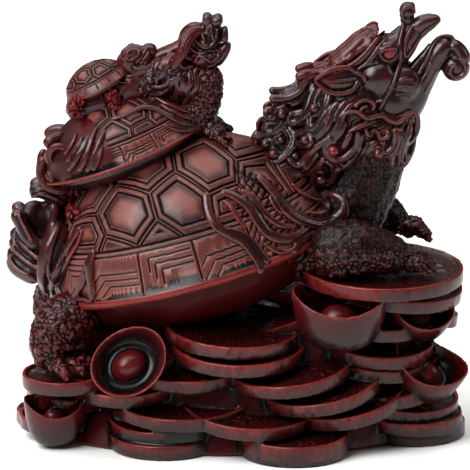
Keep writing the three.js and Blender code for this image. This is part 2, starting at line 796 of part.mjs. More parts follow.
// A turtle with a dragon's head, mane, flames and tail.
class DragonTurtle {
  constructor(spec) {
    this.spec = spec;
    this.shell = new Shell(spec);
    this.scale = spec.length / BIG.length;
    this.headScale = (spec.length * spec.skullShare) / DRAWN_SKULL;
    this.steps = Math.ceil(9 * spec.fineness);
  }

  // A place measured from the middle of the shell's rim in shares of the shell's length.
  place([x, y, z]) {
    return vec(x, y, z).multiplyScalar(this.spec.length).add(vec(...this.spec.centre));
  }

  // Widths that are shares of the shell's length.
  sized(shares) {
    return shares.map((share) => share * this.spec.length);
  }

  neck() {
    const path = this.spec.neck.map((share) => this.place(share));
    return tube(path, taper(this.sized(this.spec.neckWidths)), { sides: 12, steps: 7 });
  }

  head() {
    const { head, headPitch, fineness, trimmed, maneRows } = this.spec;
    const made = new Head(this.headScale, this.place(head), headPitch, fineness);
    const both = [...made.face(), ...made.features(1), ...made.features(-1), ...made.mane(maneRows)];
    return trimmed ? [...both, ...made.trimmings(1), ...made.trimmings(-1), ...made.chinCurl()] : both;
  }

  // Locks over both sides of the shell.
  flames() {
    const width = this.spec.length * FLAME_SHARE;
    return this.spec.flames.flatMap((line) =>
      [1, -1].map((side) => {
        const put = ([along, across, lift]) => this.shell.point(along, across * side, lift * this.scale);
        return tube(line.map(put), taper([width * 0.6, width, width * 0.7], 0.5), {
          steps: this.steps,
          flat: FLAME_FLATNESS,
          outAt: (p) => this.shell.outAt(p),
        });
      }),
    );
  }

  // Locks that fan out from the rump as a tail, each with a boss at its end.
  tail() {
    const root = this.shell.point(-0.86, 0, -0.22 * this.shell.height);
    const radius = 4.6 * this.scale;
    return this.spec.tail.flatMap((share) => {
      const boss = this.place(share);
      const sag = (part, drop) => root.clone().lerp(boss, part).add(vec(0, 0, -drop * this.scale));
      return [
        tube([root, sag(0.45, 2.4), sag(0.86, 1.4), boss], taper([4, 4.6, 3.4], 0.5, this.scale), {
          sides: 7,
          steps: this.steps,
        }),
        ball(boss, [radius, radius * 0.92, radius], { sides: 9, rows: 6 }),
      ];
    });
  }

  // Legs on both sides, with their joints put in place by the given function.
  legs(specs, put) {
    return specs.flatMap((spec) =>
      [1, -1].flatMap((side) => {
        const path = spec.joints.map(([x, y, z]) => put(x, y * side, z, spec));
        const [toeX, toeY, toeZ] = spec.toes;
        return leg(path, this.sized(spec.widths), [toeX, toeY * side, toeZ], this.headScale, this.steps);
      }),
    );
  }

  body() {
    const shell = [this.shell.solid(), this.shell.belly()];
    return [...shell, this.neck(), ...this.head(), ...this.flames(), ...this.tail()];
  }
}

// A turtle that rides on a shell has its own shell's middle over a place on that one.
const riding = (spec, shell) => ({ ...spec, centre: shell.point(...spec.perch).toArray() });

function smallTurtle(middle) {
  const spec = riding(SMALL, middle.shell);
  const shell = new Shell(spec);
  const place = ([x, y, z]) => vec(x, y, z).multiplyScalar(spec.length).add(vec(...spec.centre));
  const sized = (shares) => shares.map((share) => share * spec.length);
  const legs = [0.75, -0.6].flatMap((along) =>
    [1, -1].map((side) => {
      const hip = shell.point(along * 0.8, 0.5 * side, -spec.height * 0.27);
      const knee = shell.point(along * 1.05, 0.8 * side, -spec.height * 0.13);
      const sole = knee.clone().add(vec(1, 0, -spec.height * 0.8));
      return tube([hip, knee, sole], taper(sized([0.116, 0.107, 0.084])), { sides: 7, steps: 4 });
    }),
  );
  const perch = ball(middle.shell.point(-0.1, 0, 1), [8, 6, 4], { pitch: MIDDLE.pitch });
  return [
    shell.solid(),
    shell.belly(),
    tube(spec.neck.map(place), taper(sized(spec.neckWidths)), { sides: 8, steps: 5 }),
    ball(place(spec.head), sized(spec.headRadii), { pitch: spec.headPitch }),
    perch,
    ...legs,
  ];
}

// The three generations, one on the other.
function turtles() {
  const big = new DragonTurtle(BIG);
  const middle = new DragonTurtle(riding(MIDDLE, big.shell));
  const onCoin = (x, y, z, { footing }) =>
    big.place([x, y, z]).setZ(footing + COIN_THICKNESS + z * BIG.length);
  const onShell = (along, across, lift) => big.shell.point(along, across, lift);
  return [
    ...big.body(),
    ...big.legs(BIG_LEGS, onCoin),
    ...middle.body(),
    ...middle.legs(MIDDLE_LEGS, onShell),
    ...smallTurtle(middle),
  ];
}

function geometryOf(body) {
  const mesh = body.getMesh();
  const geometry = new THREE.BufferGeometry();
  geometry.setAttribute("position", new THREE.BufferAttribute(mesh.vertProperties, mesh.numProp));
  geometry.setIndex(new THREE.BufferAttribute(mesh.triVerts, 1));
  return geometry;
}

// How much a place's shape matters: more at the faces, less on the far side.
function careAt({ x, y, z }) {
  const bigFace = x > 36 && z > 96 ? 3 : 1;
  const middleFace = x > -22 && x < 8 && z > 108 ? 2 : 1;
  const far = y > 6 ? 0.45 : 1;
  return bigFace * middleFace * far;
}

// A closed surface that can lose triangles. Its edges are closed up, those first whose loss keeps
// the corners nearest to the planes of the faces that they came from.
class Thinner {
  constructor(geometry) {
    const { position } = geometry.attributes;
    const index = geometry.index.array;
    this.points = Array.from({ length: position.count }, (_, i) => vec().fromBufferAttribute(position, i));
    this.around = this.points.map(() => new Set());
    this.planes = this.points.map(() => new Float64Array(10));
    this.faces = new Set();
    for (let i = 0; i < index.length; i += 3) this.addFace([index[i], index[i + 1], index[i + 2]]);
  }

  // Adds a face, and its plane's squared distance, weighed by its area, to its corners' sums.
  addFace(face) {
    const first = this.points[face[0]];
    const normal = this.normal(face);
    const area = normal.length();
    const { x, y, z } = normal.normalize();
    const d = -first.dot(normal);
    const plane = [x * x, x * y, x * z, x * d, y * y, y * z, y * d, z * z, z * d, d * d];
    for (const corner of face) {
      plane.forEach((term, i) => (this.planes[corner][i] += term * area * careAt(first)));
      this.around[corner].add(face);
    }
    this.faces.add(face);
  }

  // Twice a face's area along its normal, if need be with one of its corners moved to a point.
  normal(face, moved, point) {
    const [a, b, c] = face.map((corner) => (corner === moved ? point : this.points[corner]));
    return b.clone().sub(a).cross(c.clone().sub(a));
  }

  cost(a, b, { x, y, z }) {
    const q = this.planes[a].map((term, i) => term + this.planes[b][i]);
    const square = q[0] * x * x + q[4] * y * y + q[7] * z * z + q[9];
    return square + 2 * (q[1] * x * y + q[2] * x * z + q[3] * x + q[5] * y * z + q[6] * y + q[8] * z);
  }

  // The cheapest place for the corner that an edge is closed up to. The flat underside stays flat.
  closing(a, b) {
    const [p, q] = [this.points[a], this.points[b]];
    const places = [p, q, p.clone().lerp(q, 0.5)];
    const allowed = Math.min(p.z, q.z) < WELD ? places.filter(({ z }) => z < WELD) : places;
    const costs = allowed.map((place) => this.cost(a, b, place));
    const least = Math.min(...costs);
    return { a, b, place: allowed[costs.indexOf(least)], cost: least + 1e-5 * p.distanceToSquared(q) };
  }

  // The corners of the faces around a corner, itself among them.
  neighbours(corner) {
    return new Set([...this.around[corner]].flat());
  }

  // True if the surface stays closed and unfolded once the edge is gone.
  canClose({ a, b, place }) {
    const besideA = this.neighbours(a);
    const shared = [...this.neighbours(b)].filter((corner) => besideA.has(corner));
    if (shared.length !== 4) return false;
    const leastArea = 1e-3;
    const leastCosine = 0.35;
    return [a, b].every((corner) =>
      [...this.around[corner]].every((face) => {
        if (face.includes(a) && face.includes(b)) return true;
        const before = this.normal(face);
        const after = this.normal(face, corner, place);
        const turned = before.dot(after) / (before.length() * after.length());
        return after.length() > leastArea && turned > leastCosine;
      }),
    );
  }

  close({ a, b, place }) {
    for (const face of [...this.around[b]]) {
      if (face.includes(a)) {
        face.forEach((corner) => this.around[corner].delete(face));
        this.faces.delete(face);
      } else {
        face[face.indexOf(b)] = a;
        this.around[a].add(face);
      }
    }
    this.around[b].clear();
    this.points[a] = place;
    this.planes[a] = this.planes[a].map((term, i) => term + this.planes[b][i]);
  }

  edges() {
    const edges = [];
    for (const [a, b, c] of this.faces) {
      if (a < b) edges.push(this.closing(a, b));
      if (b < c) edges.push(this.closing(b, c));
      if (c < a) edges.push(this.closing(c, a));
    }
    return edges.sort((one, two) => one.cost - two.cost);
  }

  // Closes edges up in rounds, in each the cheapest ones that don't touch, down to the wanted count.
  thin(wanted) {
    const shareOfRound = 0.15;
    let before = Infinity;
    while (this.faces.size > wanted && this.faces.size < before) {
      before = this.faces.size;
      const edges = this.edges();
      const touched = new Set();
      for (const edge of edges.slice(0, edges.length * shareOfRound)) {
        if (this.faces.size <= wanted) break;
        if (touched.has(edge.a) || touched.has(edge.b) || !this.canClose(edge)) continue;
        this.neighbours(edge.a).forEach((corner) => touched.add(corner));
        this.neighbours(edge.b).forEach((corner) => touched.add(corner));
        this.close(edge);
      }
    }
    return this;
  }

  geometry() {
    const geometry = new THREE.BufferGeometry().setFromPoints(this.points);
    geometry.setIndex([...this.faces].flat());
    return geometry;
  }
}

// The biggest of a solid's separate surfaces: its outer one, without the spaces closed in by it.
const outerBody = (body) => body.decompose().sort((a, b) => b.volume() - a.volume())[0];

// Joins everything into one casting, cuts it flat below and fills the spaces that are closed in.
function casting() {
  const floor = new THREE.BoxGeometry(400, 400, 100).translate(0, 0, -50);
  const fused = wasm.Manifold.union([...heap(), ...turtles()]);
  const whole = outerBody(fused.subtract(solid(floor)));
  const thinned = new Thinner(geometryOf(whole)).thin(TRIANGLES).geometry();
  const geometry = geometryOf(outerBody(solid(thinned, WELD)));
  geometry.computeVertexNormals();
  return geometry;
}

const resin = new THREE.MeshStandardMaterial({ color: 0x4a0d10, roughness: 0.38, metalness: 0 });
const figure = new THREE.Mesh(casting(), resin);
figure.name = "dragon_turtle";

const group = new THREE.Group();
group.add(figure);

export default group;
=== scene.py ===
"""Dresses the cast dragon turtle figure: its carving, its red-brown resin, the light and the camera.

Everything is modelled in millimetres in the figure's frame, and goes to metres when a piece is finished.
The figure is one casting, so the pieces of this file grow into each other like the parts of one mould.
"""

import logging
import math
from collections.abc import Iterable, Sequence
from dataclasses import dataclass, field
from enum import Enum
from functools import partial

import bpy
import numpy as np
from mathutils import Matrix, Vector
from mathutils.bvhtree import BVHTree


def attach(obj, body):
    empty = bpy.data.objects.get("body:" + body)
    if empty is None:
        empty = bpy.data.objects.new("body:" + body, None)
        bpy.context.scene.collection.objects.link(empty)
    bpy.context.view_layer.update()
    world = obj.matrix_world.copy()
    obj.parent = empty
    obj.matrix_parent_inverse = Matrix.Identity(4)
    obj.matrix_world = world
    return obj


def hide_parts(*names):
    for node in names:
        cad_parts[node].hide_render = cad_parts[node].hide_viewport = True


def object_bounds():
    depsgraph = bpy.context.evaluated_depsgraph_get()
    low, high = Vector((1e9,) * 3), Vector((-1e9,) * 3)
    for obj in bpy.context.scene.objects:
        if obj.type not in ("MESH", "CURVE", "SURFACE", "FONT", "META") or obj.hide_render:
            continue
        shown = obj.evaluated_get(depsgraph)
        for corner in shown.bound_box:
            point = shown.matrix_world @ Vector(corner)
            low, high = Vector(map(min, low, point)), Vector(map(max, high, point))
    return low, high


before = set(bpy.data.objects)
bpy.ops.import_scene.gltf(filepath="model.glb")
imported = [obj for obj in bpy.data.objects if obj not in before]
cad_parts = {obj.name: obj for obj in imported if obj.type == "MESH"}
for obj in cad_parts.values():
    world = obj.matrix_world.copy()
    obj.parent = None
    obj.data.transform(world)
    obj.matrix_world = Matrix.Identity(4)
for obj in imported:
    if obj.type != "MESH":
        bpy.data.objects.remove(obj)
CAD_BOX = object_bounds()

Array = np.ndarray
Point = tuple[float, float, float]
Spot = tuple[float, float]
LOG = logging.getLogger("dragon_turtle")

METRES = 0.001
# The photograph looks along +Y from this height above level.
SIGHT_TILT = math.radians(15)
SIGHT = np.array([0.0, math.cos(SIGHT_TILT), -math.sin(SIGHT_TILT)])
SIGHT_UP = np.array([0.0, math.sin(SIGHT_TILT), math.cos(SIGHT_TILT)])
# How fine the fused skins are while trying things, as a multiple of their final grid.
COARSE = 1.0


def unit(vectors: Array) -> Array:
    """Scales vectors along the last axis to length one."""
    return vectors / np.maximum(np.linalg.norm(vectors, axis=-1, keepdims=True), 1e-9)


def smoothstep(low: float, high: float, values: Array) -> Array:
    """Rises smoothly from 0 at low to 1 at high."""
    share = np.clip((values - low) / (high - low), 0.0, 1.0)
    return share * share * (3 - 2 * share)


def spline(points: Array, count: int) -> Array:
    """Runs a smooth line through points, sampled at even lengths.

    Args:
        points: The points that the line passes.
        count: How many samples the line gets.

    Returns:
        The samples, count by the points' width.
    """
    points = np.asarray(points, float)
    padded = np.vstack([2 * points[0] - points[1], points, 2 * points[-1] - points[-2]])
    rows = []
    for i in range(1, len(padded) - 2):
        before, start, end, after = padded[i - 1 : i + 3]
        t = np.linspace(0, 1, 24, endpoint=False)[:, None]
        rows.append(
            0.5
            * (
                2 * start
                + (end - before) * t
                + (2 * before - 5 * start + 4 * end - after) * t**2
                + (3 * start - before - 3 * end + after) * t**3
            )
        )
    dense = np.vstack([*rows, points[-1:]])
    steps = np.concatenate([[0], np.cumsum(np.linalg.norm(np.diff(dense, axis=0), axis=1))])
    even = np.linspace(0, steps[-1], count)
    return np.stack([np.interp(even, steps, dense[:, k]) for k in range(dense.shape[1])], axis=1)


def relaxed(values: Array, rounds: int) -> Array:
    """Evens out a row of values, with its two ends held.

    Args:
        values: The values.
        rounds: How often they are evened out.

    Returns:
        The values, evened out.
    """
    values = values.copy()
    for _ in range(rounds):
        values[1:-1] = (values[:-2] + 2 * values[1:-1] + values[2:]) / 4
    return values


def pitched(degrees: float) -> Array:
    """Gives the turn about Y that lifts +X by an angle, as a 3 by 3 matrix."""
    return np.array(Matrix.Rotation(-math.radians(degrees), 3, "Y"))


def leaned(about_x: float, about_y: float, turn: float) -> Array:
    """Gives the turn of a coin or ingot: about its axis, then about X, then about Y."""
    turns = [
        Matrix.Rotation(math.radians(angle), 3, axis)
        for angle, axis in ((about_y, "Y"), (about_x, "X"), (turn, "Z"))
    ]
    return np.array(turns[0] @ turns[1] @ turns[2])


@dataclass(frozen=True)
class Section:
    """The section of a lock or limb: how flat it is, and the hairs that groove its outer side."""

    flat: float = 1.0
    ridges: int = 0
    depth: float = 0.34

    def outline(self) -> Array:
        """Gives the section's corners as shares of its half width, across and out.

        Returns:
            The corners, one pair a row.
        """
        count = max(14, 10 * self.ridges)
        angle = np.linspace(0, 2 * math.pi, count, endpoint=False)
        across, out = np.cos(angle), np.sin(angle)
        if self.ridges:
            groove = (0.5 + 0.5 * np.cos(math.pi * self.ridges * (across + 1))) ** 1.5
            out = np.where(out > 0, out * (1 - self.depth * groove), out)
        return np.stack([across, out * self.flat], axis=1)


@dataclass(frozen=True)
class Drawn:
    """Something drawn on a form as the photograph shows it: x and height at each point of its line."""

    line: tuple[float, ...]

    @property
    def points(self) -> Array:
        """Gives the line's points, one a row."""
        return np.reshape(self.line, (-1, 2))

    @property
    def length(self) -> float:
        """Gives the line's length in millimetres."""
        return float(np.sum(np.linalg.norm(np.diff(self.points, axis=0), axis=1)))


@dataclass(frozen=True)
class Lock(Drawn):
    """A lock: its line, half width and hairs."""

    width: float
    ridges: int = 3
    flat: float = 0.75
    root: float = 0.65
    tip: float = 0.5
    lift: float = 0.3
    curl: float = 0.0
    turns: float = 1.2


class Mark(Enum):
    """What is marked at a piece's corners for the finish to read."""

    FINE = "fine"
    BROAD = "broad"
    GROOVE = "groove"
    DARK_WASH_AND_SHADE = "dark_wash_and_shade"
    TINT = "tint"
    RED = "red"
    POLISHED = "polished"


class Clay:
    """Closed lumps that are pressed together into one skin."""

    ball_points: Array
    ball_faces: Array

    def __init__(self) -> None:
        """Starts with no lumps."""
        self.points: list[Array] = []
        self.faces: list[tuple[int, ...]] = []
        self.size = 0

    @classmethod
    def roll_ball(cls) -> None:
        """Models the one ball that all round lumps are copies of."""
        bpy.ops.object.select_all(action="DESELECT")
        bpy.ops.mesh.primitive_uv_sphere_add(segments=28, ring_count=16, radius=1)
        blank = bpy.context.object
        cls.ball_points = np.array([v.co for v in blank.data.vertices])
        cls.ball_faces = [tuple(p.vertices) for p in blank.data.polygons]
        bpy.data.objects.remove(blank)

    def press(self, points: Array, faces: Iterable[tuple[int, ...]]) -> None:
        """Adds a closed lump.

        Args:
            points: The lump's corners.
            faces: Its faces, as numbers of its corners.
        """
        self.points.append(np.asarray(points, float))
        self.faces.extend(tuple(corner + self.size for corner in face) for face in faces)
        self.size += len(points)

    def ball(self, centre: Sequence[float], radii: Sequence[float], turn: Array | None = None) -> None:
        """Adds an ellipsoid, turned if need be.

        Args:
            centre: Its middle.
            radii: Its half sizes.
            turn: Its turn.
        """
        points = self.ball_points * np.asarray(radii, float)
        if turn is not None:
            points = points @ turn.T
        self.press(points + np.asarray(centre, float), self.ball_faces)

    def sweep(self, path: Array, outs: Array, widths: Array, section: Section) -> None:
        """Adds a lump swept along a path.

        Args:
            path: Points along the middle of the lump.
            outs: The way that its outer side faces at each of them.
            widths: The half width at each of them.
            section: The section's shape.
        """
        along = unit(np.gradient(path, axis=0))
        across = unit(np.cross(along, outs))
        upward = np.cross(across, along)
        outline = section.outline()
        rings = (
            path[:, None]
            + widths[:, None, None] * outline[None, :, :1] * across[:, None]
            + widths[:, None, None] * outline[None, :, 1:] * upward[:, None]
        )
        count, sides = rings.shape[:2]
        points = np.vstack([rings.reshape(-1, 3), path[:1], path[-1:]])
        faces: list[tuple[int, ...]] = []
        for side in range(sides):
            after = (side + 1) % sides
            faces.append((count * sides, after, side))
            faces.append((count * sides + 1, (count - 1) * sides + side, (count - 1) * sides + after))
            faces.extend(
                (
                    ring * sides + side, ring * sides + after, (ring + 1) * sides + after,
                    (ring + 1) * sides + side
                )
                for ring in range(count - 1)
            )
        self.press(points, faces)

    def strand(
        self,
        line: Sequence[Sequence[float]],
        widths: Sequence[float],
        section: Section = Section(),
        out: Sequence[float] = (0, 1, 0),
        steps: int = 26,
    ) -> None:
        """Adds a smooth strand through points, its half width running evenly through the given ones.

        Args:
            line: The points.
            widths: The half widths.
            section: The section's shape.
            out: The way that its outer side faces.
            steps: How many samples its path gets.
        """
        path = spline(np.array(line, float), steps)
        sizes = np.interp(np.linspace(0, 1, steps), np.linspace(0, 1, len(widths)), widths)
        outs = np.repeat([np.asarray(out, float)], steps, axis=0)
        self.sweep(path, outs, rounded(path, sizes), section)

    def add(self, other: "Clay") -> None:
        """Adds another clay's lumps."""
        self.press(np.vstack(other.points), other.faces)

    def blended(self, grid: float, smoothing: int) -> "Clay":
        """Presses the lumps into one, with soft seams.

        Args:
            grid: The size of the skin's faces in millimetres.
            smoothing: How many rounds of smoothing blend the seams.

        Returns:
            The one lump.
        """
        piece = self.fuse("blend", grid, smoothing)
        clay = Clay()
        clay.press(corners(piece), [tuple(p.vertices) for p in piece.data.polygons])
        bpy.data.objects.remove(piece)
        return clay

    def fuse(self, name: str, grid: float, smoothing: int = 2) -> bpy.types.Object:
        """Presses the lumps into one closed skin.

        Args:
            name: The piece's name.
            grid: The size of the skin's faces in millimetres.
            smoothing: How many rounds of smoothing take off the steps of the grid.

        Returns:
            The piece, in millimetres.
        """
        mesh = bpy.data.meshes.new(name)
        mesh.from_pydata(np.vstack(self.points).tolist(), [], self.faces)
        piece = bpy.data.objects.new(name, mesh)
        bpy.context.scene.collection.objects.link(piece)
        pick(piece)
        remesh = piece.modifiers.new("fuse", "REMESH")
        remesh.mode = "VOXEL"
        remesh.voxel_size = grid * COARSE
        bpy.ops.object.modifier_apply(modifier=remesh.name)
        if smoothing:
            smooth = piece.modifiers.new("smooth", "SMOOTH")
            smooth.factor = 0.5
            smooth.iterations = smoothing
            bpy.ops.object.modifier_apply(modifier=smooth.name)
        return piece


def rounded(path: Array, widths: Array) -> Array:
    """Draws a strand's half widths in at both ends, so that they end round.

    Args:
        path: The strand's middle line.
        widths: Its half widths.

    Returns:
        The half widths with round ends.
    """
    lengths = np.concatenate([[0], np.cumsum(np.linalg.norm(np.diff(path, axis=0), axis=1))])
    from_end = np.minimum(lengths, lengths[-1] - lengths)
    share = np.clip(from_end / np.maximum(widths, 1e-6), 0, 1)
    return widths * np.maximum(0.12, np.sqrt(1 - (1 - share) ** 2))


def pick(piece: bpy.types.Object) -> None:
    """Makes a piece the only one selected, and the active one.

    Args:
        piece: The piece, in millimetres.
    """
    bpy.ops.object.select_all(action="DESELECT")
    piece.select_set(True)
    bpy.context.view_layer.objects.active = piece


def corners(piece: bpy.types.Object) -> Array:
    """Reads a piece's corners.

    Args:
        piece: The piece.

    Returns:
        The corners, one a row.
    """
    values = np.empty(len(piece.data.vertices) * 3)
    piece.data.vertices.foreach_get("co", values)
    return values.reshape(-1, 3)


def normals(piece: bpy.types.Object) -> Array:
    """Reads the way out at a piece's corners.

    Args:
        piece: The piece.

    Returns:
        The ways out, one a row.
    """
    values = np.empty(len(piece.data.vertices) * 3)
    piece.data.vertex_normals.foreach_get("vector", values)
    return values.reshape(-1, 3)


def place_corners(piece: bpy.types.Object, points: Array) -> None:
    """Moves a piece's corners."""
    piece.data.vertices.foreach_set("co", np.ascontiguousarray(points, dtype=np.float32).ravel())
    piece.data.update()


def mark(piece: bpy.types.Object, kind: Mark, values: Array) -> None:
    """Keeps a number at each corner for the finish to read."""
    layer = piece.data.attributes.new(kind.value, "FLOAT", "POINT")
    layer.data.foreach_set("value", np.ascontiguousarray(values, dtype=np.float32))


def pebbles(points: Array, size: float, seed: int) -> tuple[Array, Array]:
    """Spreads irregular pebbles over space.

    Args:
        points: Where they are wanted.
        size: The pebbles' mean width in millimetres.
        seed: Which spread it is.

    Returns:
        The distance to each point's own pebble's middle, and how much further the next one is, as
        shares of the size.
    """
    scaled = points / size
    cell = np.floor(scaled).astype(np.int64)
    nearest = np.full(len(points), 9.0)
    second = np.full(len(points), 9.0)
    for shift in np.ndindex(3, 3, 3):
        other = cell + np.array(shift) - 1
        key = other[:, 0] * 73856093 ^ other[:, 1] * 19349663 ^ other[:, 2] * 83492791 ^ seed
        jitter = np.stack(
            [((key * k) >> 7 & 1023) / 1023 for k in (2654435761, 2246822519, 3266489917)], axis=1
        )
        away = np.linalg.norm(other + 0.15 + 0.7 * jitter - scaled, axis=1)
        second = np.minimum(second, np.maximum(nearest, away))
        nearest = np.minimum(nearest, away)
    return nearest, second - nearest


def craggy(points: Array, size: float, seed: int) -> Array:
    """Gives how far pebbled skin stands out: small pebbles of uneven height on bigger crags.

    Args:
        points: Places on the skin.
        size: The pebbles' width in millimetres.
        seed: Which spread it is.

    Returns:
        The height at each place in millimetres.
    """
    near, gap = pebbles(points, size, seed)
    middle, apart = pebbles(points + 0.3 * np.sin(points[:, [1, 2, 0]] * 2.1), size * 2.4, seed + 5)
    one = np.sin(points @ np.array([1.3, 0.9, 1.1]))
    other = np.sin(points @ np.array([-0.7, 1.2, 0.8]))
    uneven = 0.45 + 0.55 * one * other
    pebble = smoothstep(0, 0.45, gap) * (1 - 0.35 * near) * (0.7 + 0.5 * uneven)
    crag = (1 - smoothstep(0.15, 0.8, middle)) * (0.4 + 0.6 * smoothstep(0.05, 0.5, apart))
    return size * (0.26 * pebble + 0.5 * crag - 0.32)


class Ground:
    """A form that locks are laid on."""

    def __init__(self, clay: Clay) -> None:
        """Takes a clay's lumps as the form."""
        self.tree = BVHTree.FromPolygons(np.vstack(clay.points).tolist(), clay.faces)

    def seen(
        self, line: Sequence[Spot], steps: int, lift: float, depth: float = -10.0
    ) -> tuple[Array, Array]:
        """Lays a line on the form where the photograph shows it.

        Args:
            line: Points of the line, in millimetres to the right of and above the origin as seen.
            steps: How many samples it gets.
            lift: How far over the form it lies.
            depth: Where it runs before it meets the form, along Y.

        Returns:
            The line's points and the way out at each.
        """
        drawn = spline(np.array(line, float), steps)
        depths = np.full(steps, np.nan)
        outs = np.zeros((steps, 3))
        for i, (x, up) in enumerate(drawn):
            origin = np.array([x, 0, 0]) + up * SIGHT_UP
            spot, normal, _, _ = self.tree.ray_cast(Vector(origin - 200 * SIGHT), Vector(SIGHT))
            if spot is not None:
                depths[i] = (np.array(spot) - origin) @ SIGHT
                outs[i] = normal if normal.dot(Vector(SIGHT)) < 0 else -normal
        met = ~np.isnan(depths)
        if met.any():
            depths = np.interp(np.arange(steps), np.flatnonzero(met), depths[met])
        else:
            depths[:] = depth
        outs[~met] = -SIGHT
        depths = relaxed(np.minimum(depths, relaxed(depths, 40)), 6)
        outs = unit(relaxed(outs, 10))
        path = drawn[:, :1] * np.array([[1.0, 0, 0]]) + drawn[:, 1:] * SIGHT_UP + depths[:, None] * SIGHT
        return path + outs * lift, outs

    def away(self, points: Array) -> Array:
        """Gives how far from the form each point is."""
        return np.array([self.tree.find_nearest(Vector(point))[3] for point in points])

    def nearest(self, path: Array, lift: float) -> tuple[Array, Array]:
        """Moves a path to the nearest places on the form.

        Args:
            path: The path's points.
            lift: How far over the form it lies.

        Returns:
            The path's points and the way out at each.
        """
        spots, outs = [], []
        for point in path:
            spot, normal, _, _ = self.tree.find_nearest(Vector(point))
            spots.append(spot[:])
            outs.append(normal[:])
        outs = unit(relaxed(np.array(outs), 8))
        return relaxed(np.array(spots), 4) + outs * lift, outs


def snail(end: Array, ahead: Array, out: Array, radius: float, turns: float) -> Array:
    """Winds a lock's end up like a snail.

    Args:
        end: Where the lock ends.
        ahead: The way that it runs there.
        out: The way out of the form.
        radius: The snail's radius, less than nothing to wind the other way.
        turns: How many times it goes round.

    Returns:
        The points that follow the end.
    """
    side = unit(np.cross(out, ahead)) * math.copysign(1, radius)
    size = abs(radius)
    centre = end + side * size
    share = np.linspace(0, 1, max(8, int(26 * turns)))[1:, None]
    reach = size * (1 - 0.82 * share)
    angle = share * turns * 2 * math.pi
    return centre + reach * (ahead * np.sin(angle) - side * np.cos(angle)) + out * size * 0.35 * share


BOTH = (1.0, -1.0)


def lay(clay: Clay, ground: Ground, locks: Iterable[Lock], sides: Sequence[float] = BOTH) -> None:
    """Lays drawn locks on a form.

    Args:
        clay: What they are added to.
        ground: The form that they lie on.
        locks: The locks.
        sides: 1 for the side that the photograph shows, and -1 for its mirror image.
    """
    for lock in locks:
        path, outs = ground.seen(lock.points, max(12, int(lock.length * 1.6)), lock.lift)
        finish_lock(clay, path, outs, lock, sides)


def finish_lock(clay: Clay, path: Array, outs: Array, lock: Lock, sides: Sequence[float]) -> None:
    """Sweeps a lock along its path, with its snail if it has one.

    Args:
        clay: What it is added to.
        path: The lock's middle line.
        outs: The way out of the form along it.
        lock: The lock.
        sides: 1 for the side that the photograph shows, and -1 for its mirror image.
    """
    steps = len(path)
    share = np.linspace(0, 1, steps)
    widths = lock.width * np.interp(share, [0, 0.35, 0.75, 1], [lock.root, 1, 0.95, lock.tip])
    if lock.curl:
        ahead = unit(path[-1] - path[-3])
        tail = snail(path[-1], ahead, outs[-1], lock.curl, lock.turns)
        path = np.vstack([path, tail])
        outs = np.vstack([outs, np.repeat(outs[-1:], len(tail), axis=0)])
        widths = np.concatenate([widths, np.linspace(widths[-1], lock.width * 0.55, len(tail))])
    for side in sides:
        flip = np.array([1.0, side, 1.0])
        clay.sweep(path * flip, outs * flip, rounded(path, widths), Section(lock.flat, lock.ridges))
        if lock.curl:
            clay.ball((path[-1] + outs[-1] * 0.3) * flip, [lock.width * 0.75] * 3)


def mark_ridges_and_shade(piece: bpy.types.Object, fine: int = 4, broad: int = 60) -> None:
    """Marks a piece's ridges and hollows, which the finish wears bright and washes dark, the big hollows
    darker still as painted shade.

    Args:
        piece: The piece, with faces of an even size.
        fine: How many rounds of evening-out find the small ones.
        broad: How many find the big ones.
    """
    mesh = piece.data
    points = corners(piece)
    outs = normals(piece)
    edges = np.empty(len(mesh.edges) * 2, dtype=np.int64)
    mesh.edges.foreach_get("vertices", edges)
    start, end = edges.reshape(-1, 2).T
    count = len(points)
    degree = np.bincount(start, minlength=count) + np.bincount(end, minlength=count)
    degree = np.maximum(degree, 1)
    smooth = points.copy()
    for done in range(1, broad + 1):
        total = np.stack(
            [
                np.bincount(start, smooth[end, k], count) + np.bincount(end, smooth[start, k], count)
                for k in range(3)
            ],
            axis=1,
        )
        smooth = 0.4 * smooth + 0.6 * total / degree[:, None]
        if done == fine:
            mark(piece, Mark.FINE, np.einsum("ij,ij->i", smooth - points, outs))
    mark(piece, Mark.BROAD, np.einsum("ij,ij->i", smooth - points, outs))


def finish(
    piece: bpy.types.Object, resin: bpy.types.Material, limit: int, ridge_and_hollow_rounds: tuple[int, int] = (4, 60)
) -> None:
    """Marks a piece's worn ridges, washed hollows and painted shade, keeps it under its number of triangles,
    and hands it over in metres.

    Args:
        piece: The piece in millimetres.
        resin: Its finish.
        limit: The most triangles it may have.
        ridge_and_hollow_rounds: The rounds that find its small and big ridges and hollows.
    """
    mark_ridges_and_shade(piece, *ridge_and_hollow_rounds)
    count = sum(len(p.vertices) - 2 for p in piece.data.polygons)
    if count > limit:
        pick(piece)
        thin = piece.modifiers.new("thin", "DECIMATE")
        thin.ratio = limit / count
        bpy.ops.object.modifier_apply(modifier=thin.name)
    points = corners(piece) * METRES
    place_corners(piece, np.clip(points, np.array(CAD_BOX[0]), np.array(CAD_BOX[1])))
    piece.data.materials.clear()
    piece.data.materials.append(resin)
    pick(piece)
    bpy.ops.object.shade_smooth()
    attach(piece, "root")
    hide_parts("dragon_turtle")
    faces = sum(len(p.vertices) - 2 for p in piece.data.polygons)
    LOG.info("%s: %d triangles", piece.name, faces)


@dataclass(frozen=True)
class Coin:
    """A coin of the heap: the middle of its underside, its radius and its lean about X and Y."""

    at: Point
    radius: float
    lean: Spot
    thick: float = 1.0

    def pose(self) -> tuple[Array, Array]:
        """Gives the coin's turn and place."""
        return leaned(*self.lean, 0), np.array(self.at)


@dataclass(frozen=True)
class Ingot:
    """A boat-shaped ingot of the heap."""

    at: Point
    length: float
    lean: Spot
    turn: float = 0.0
    tall: float = 1.0


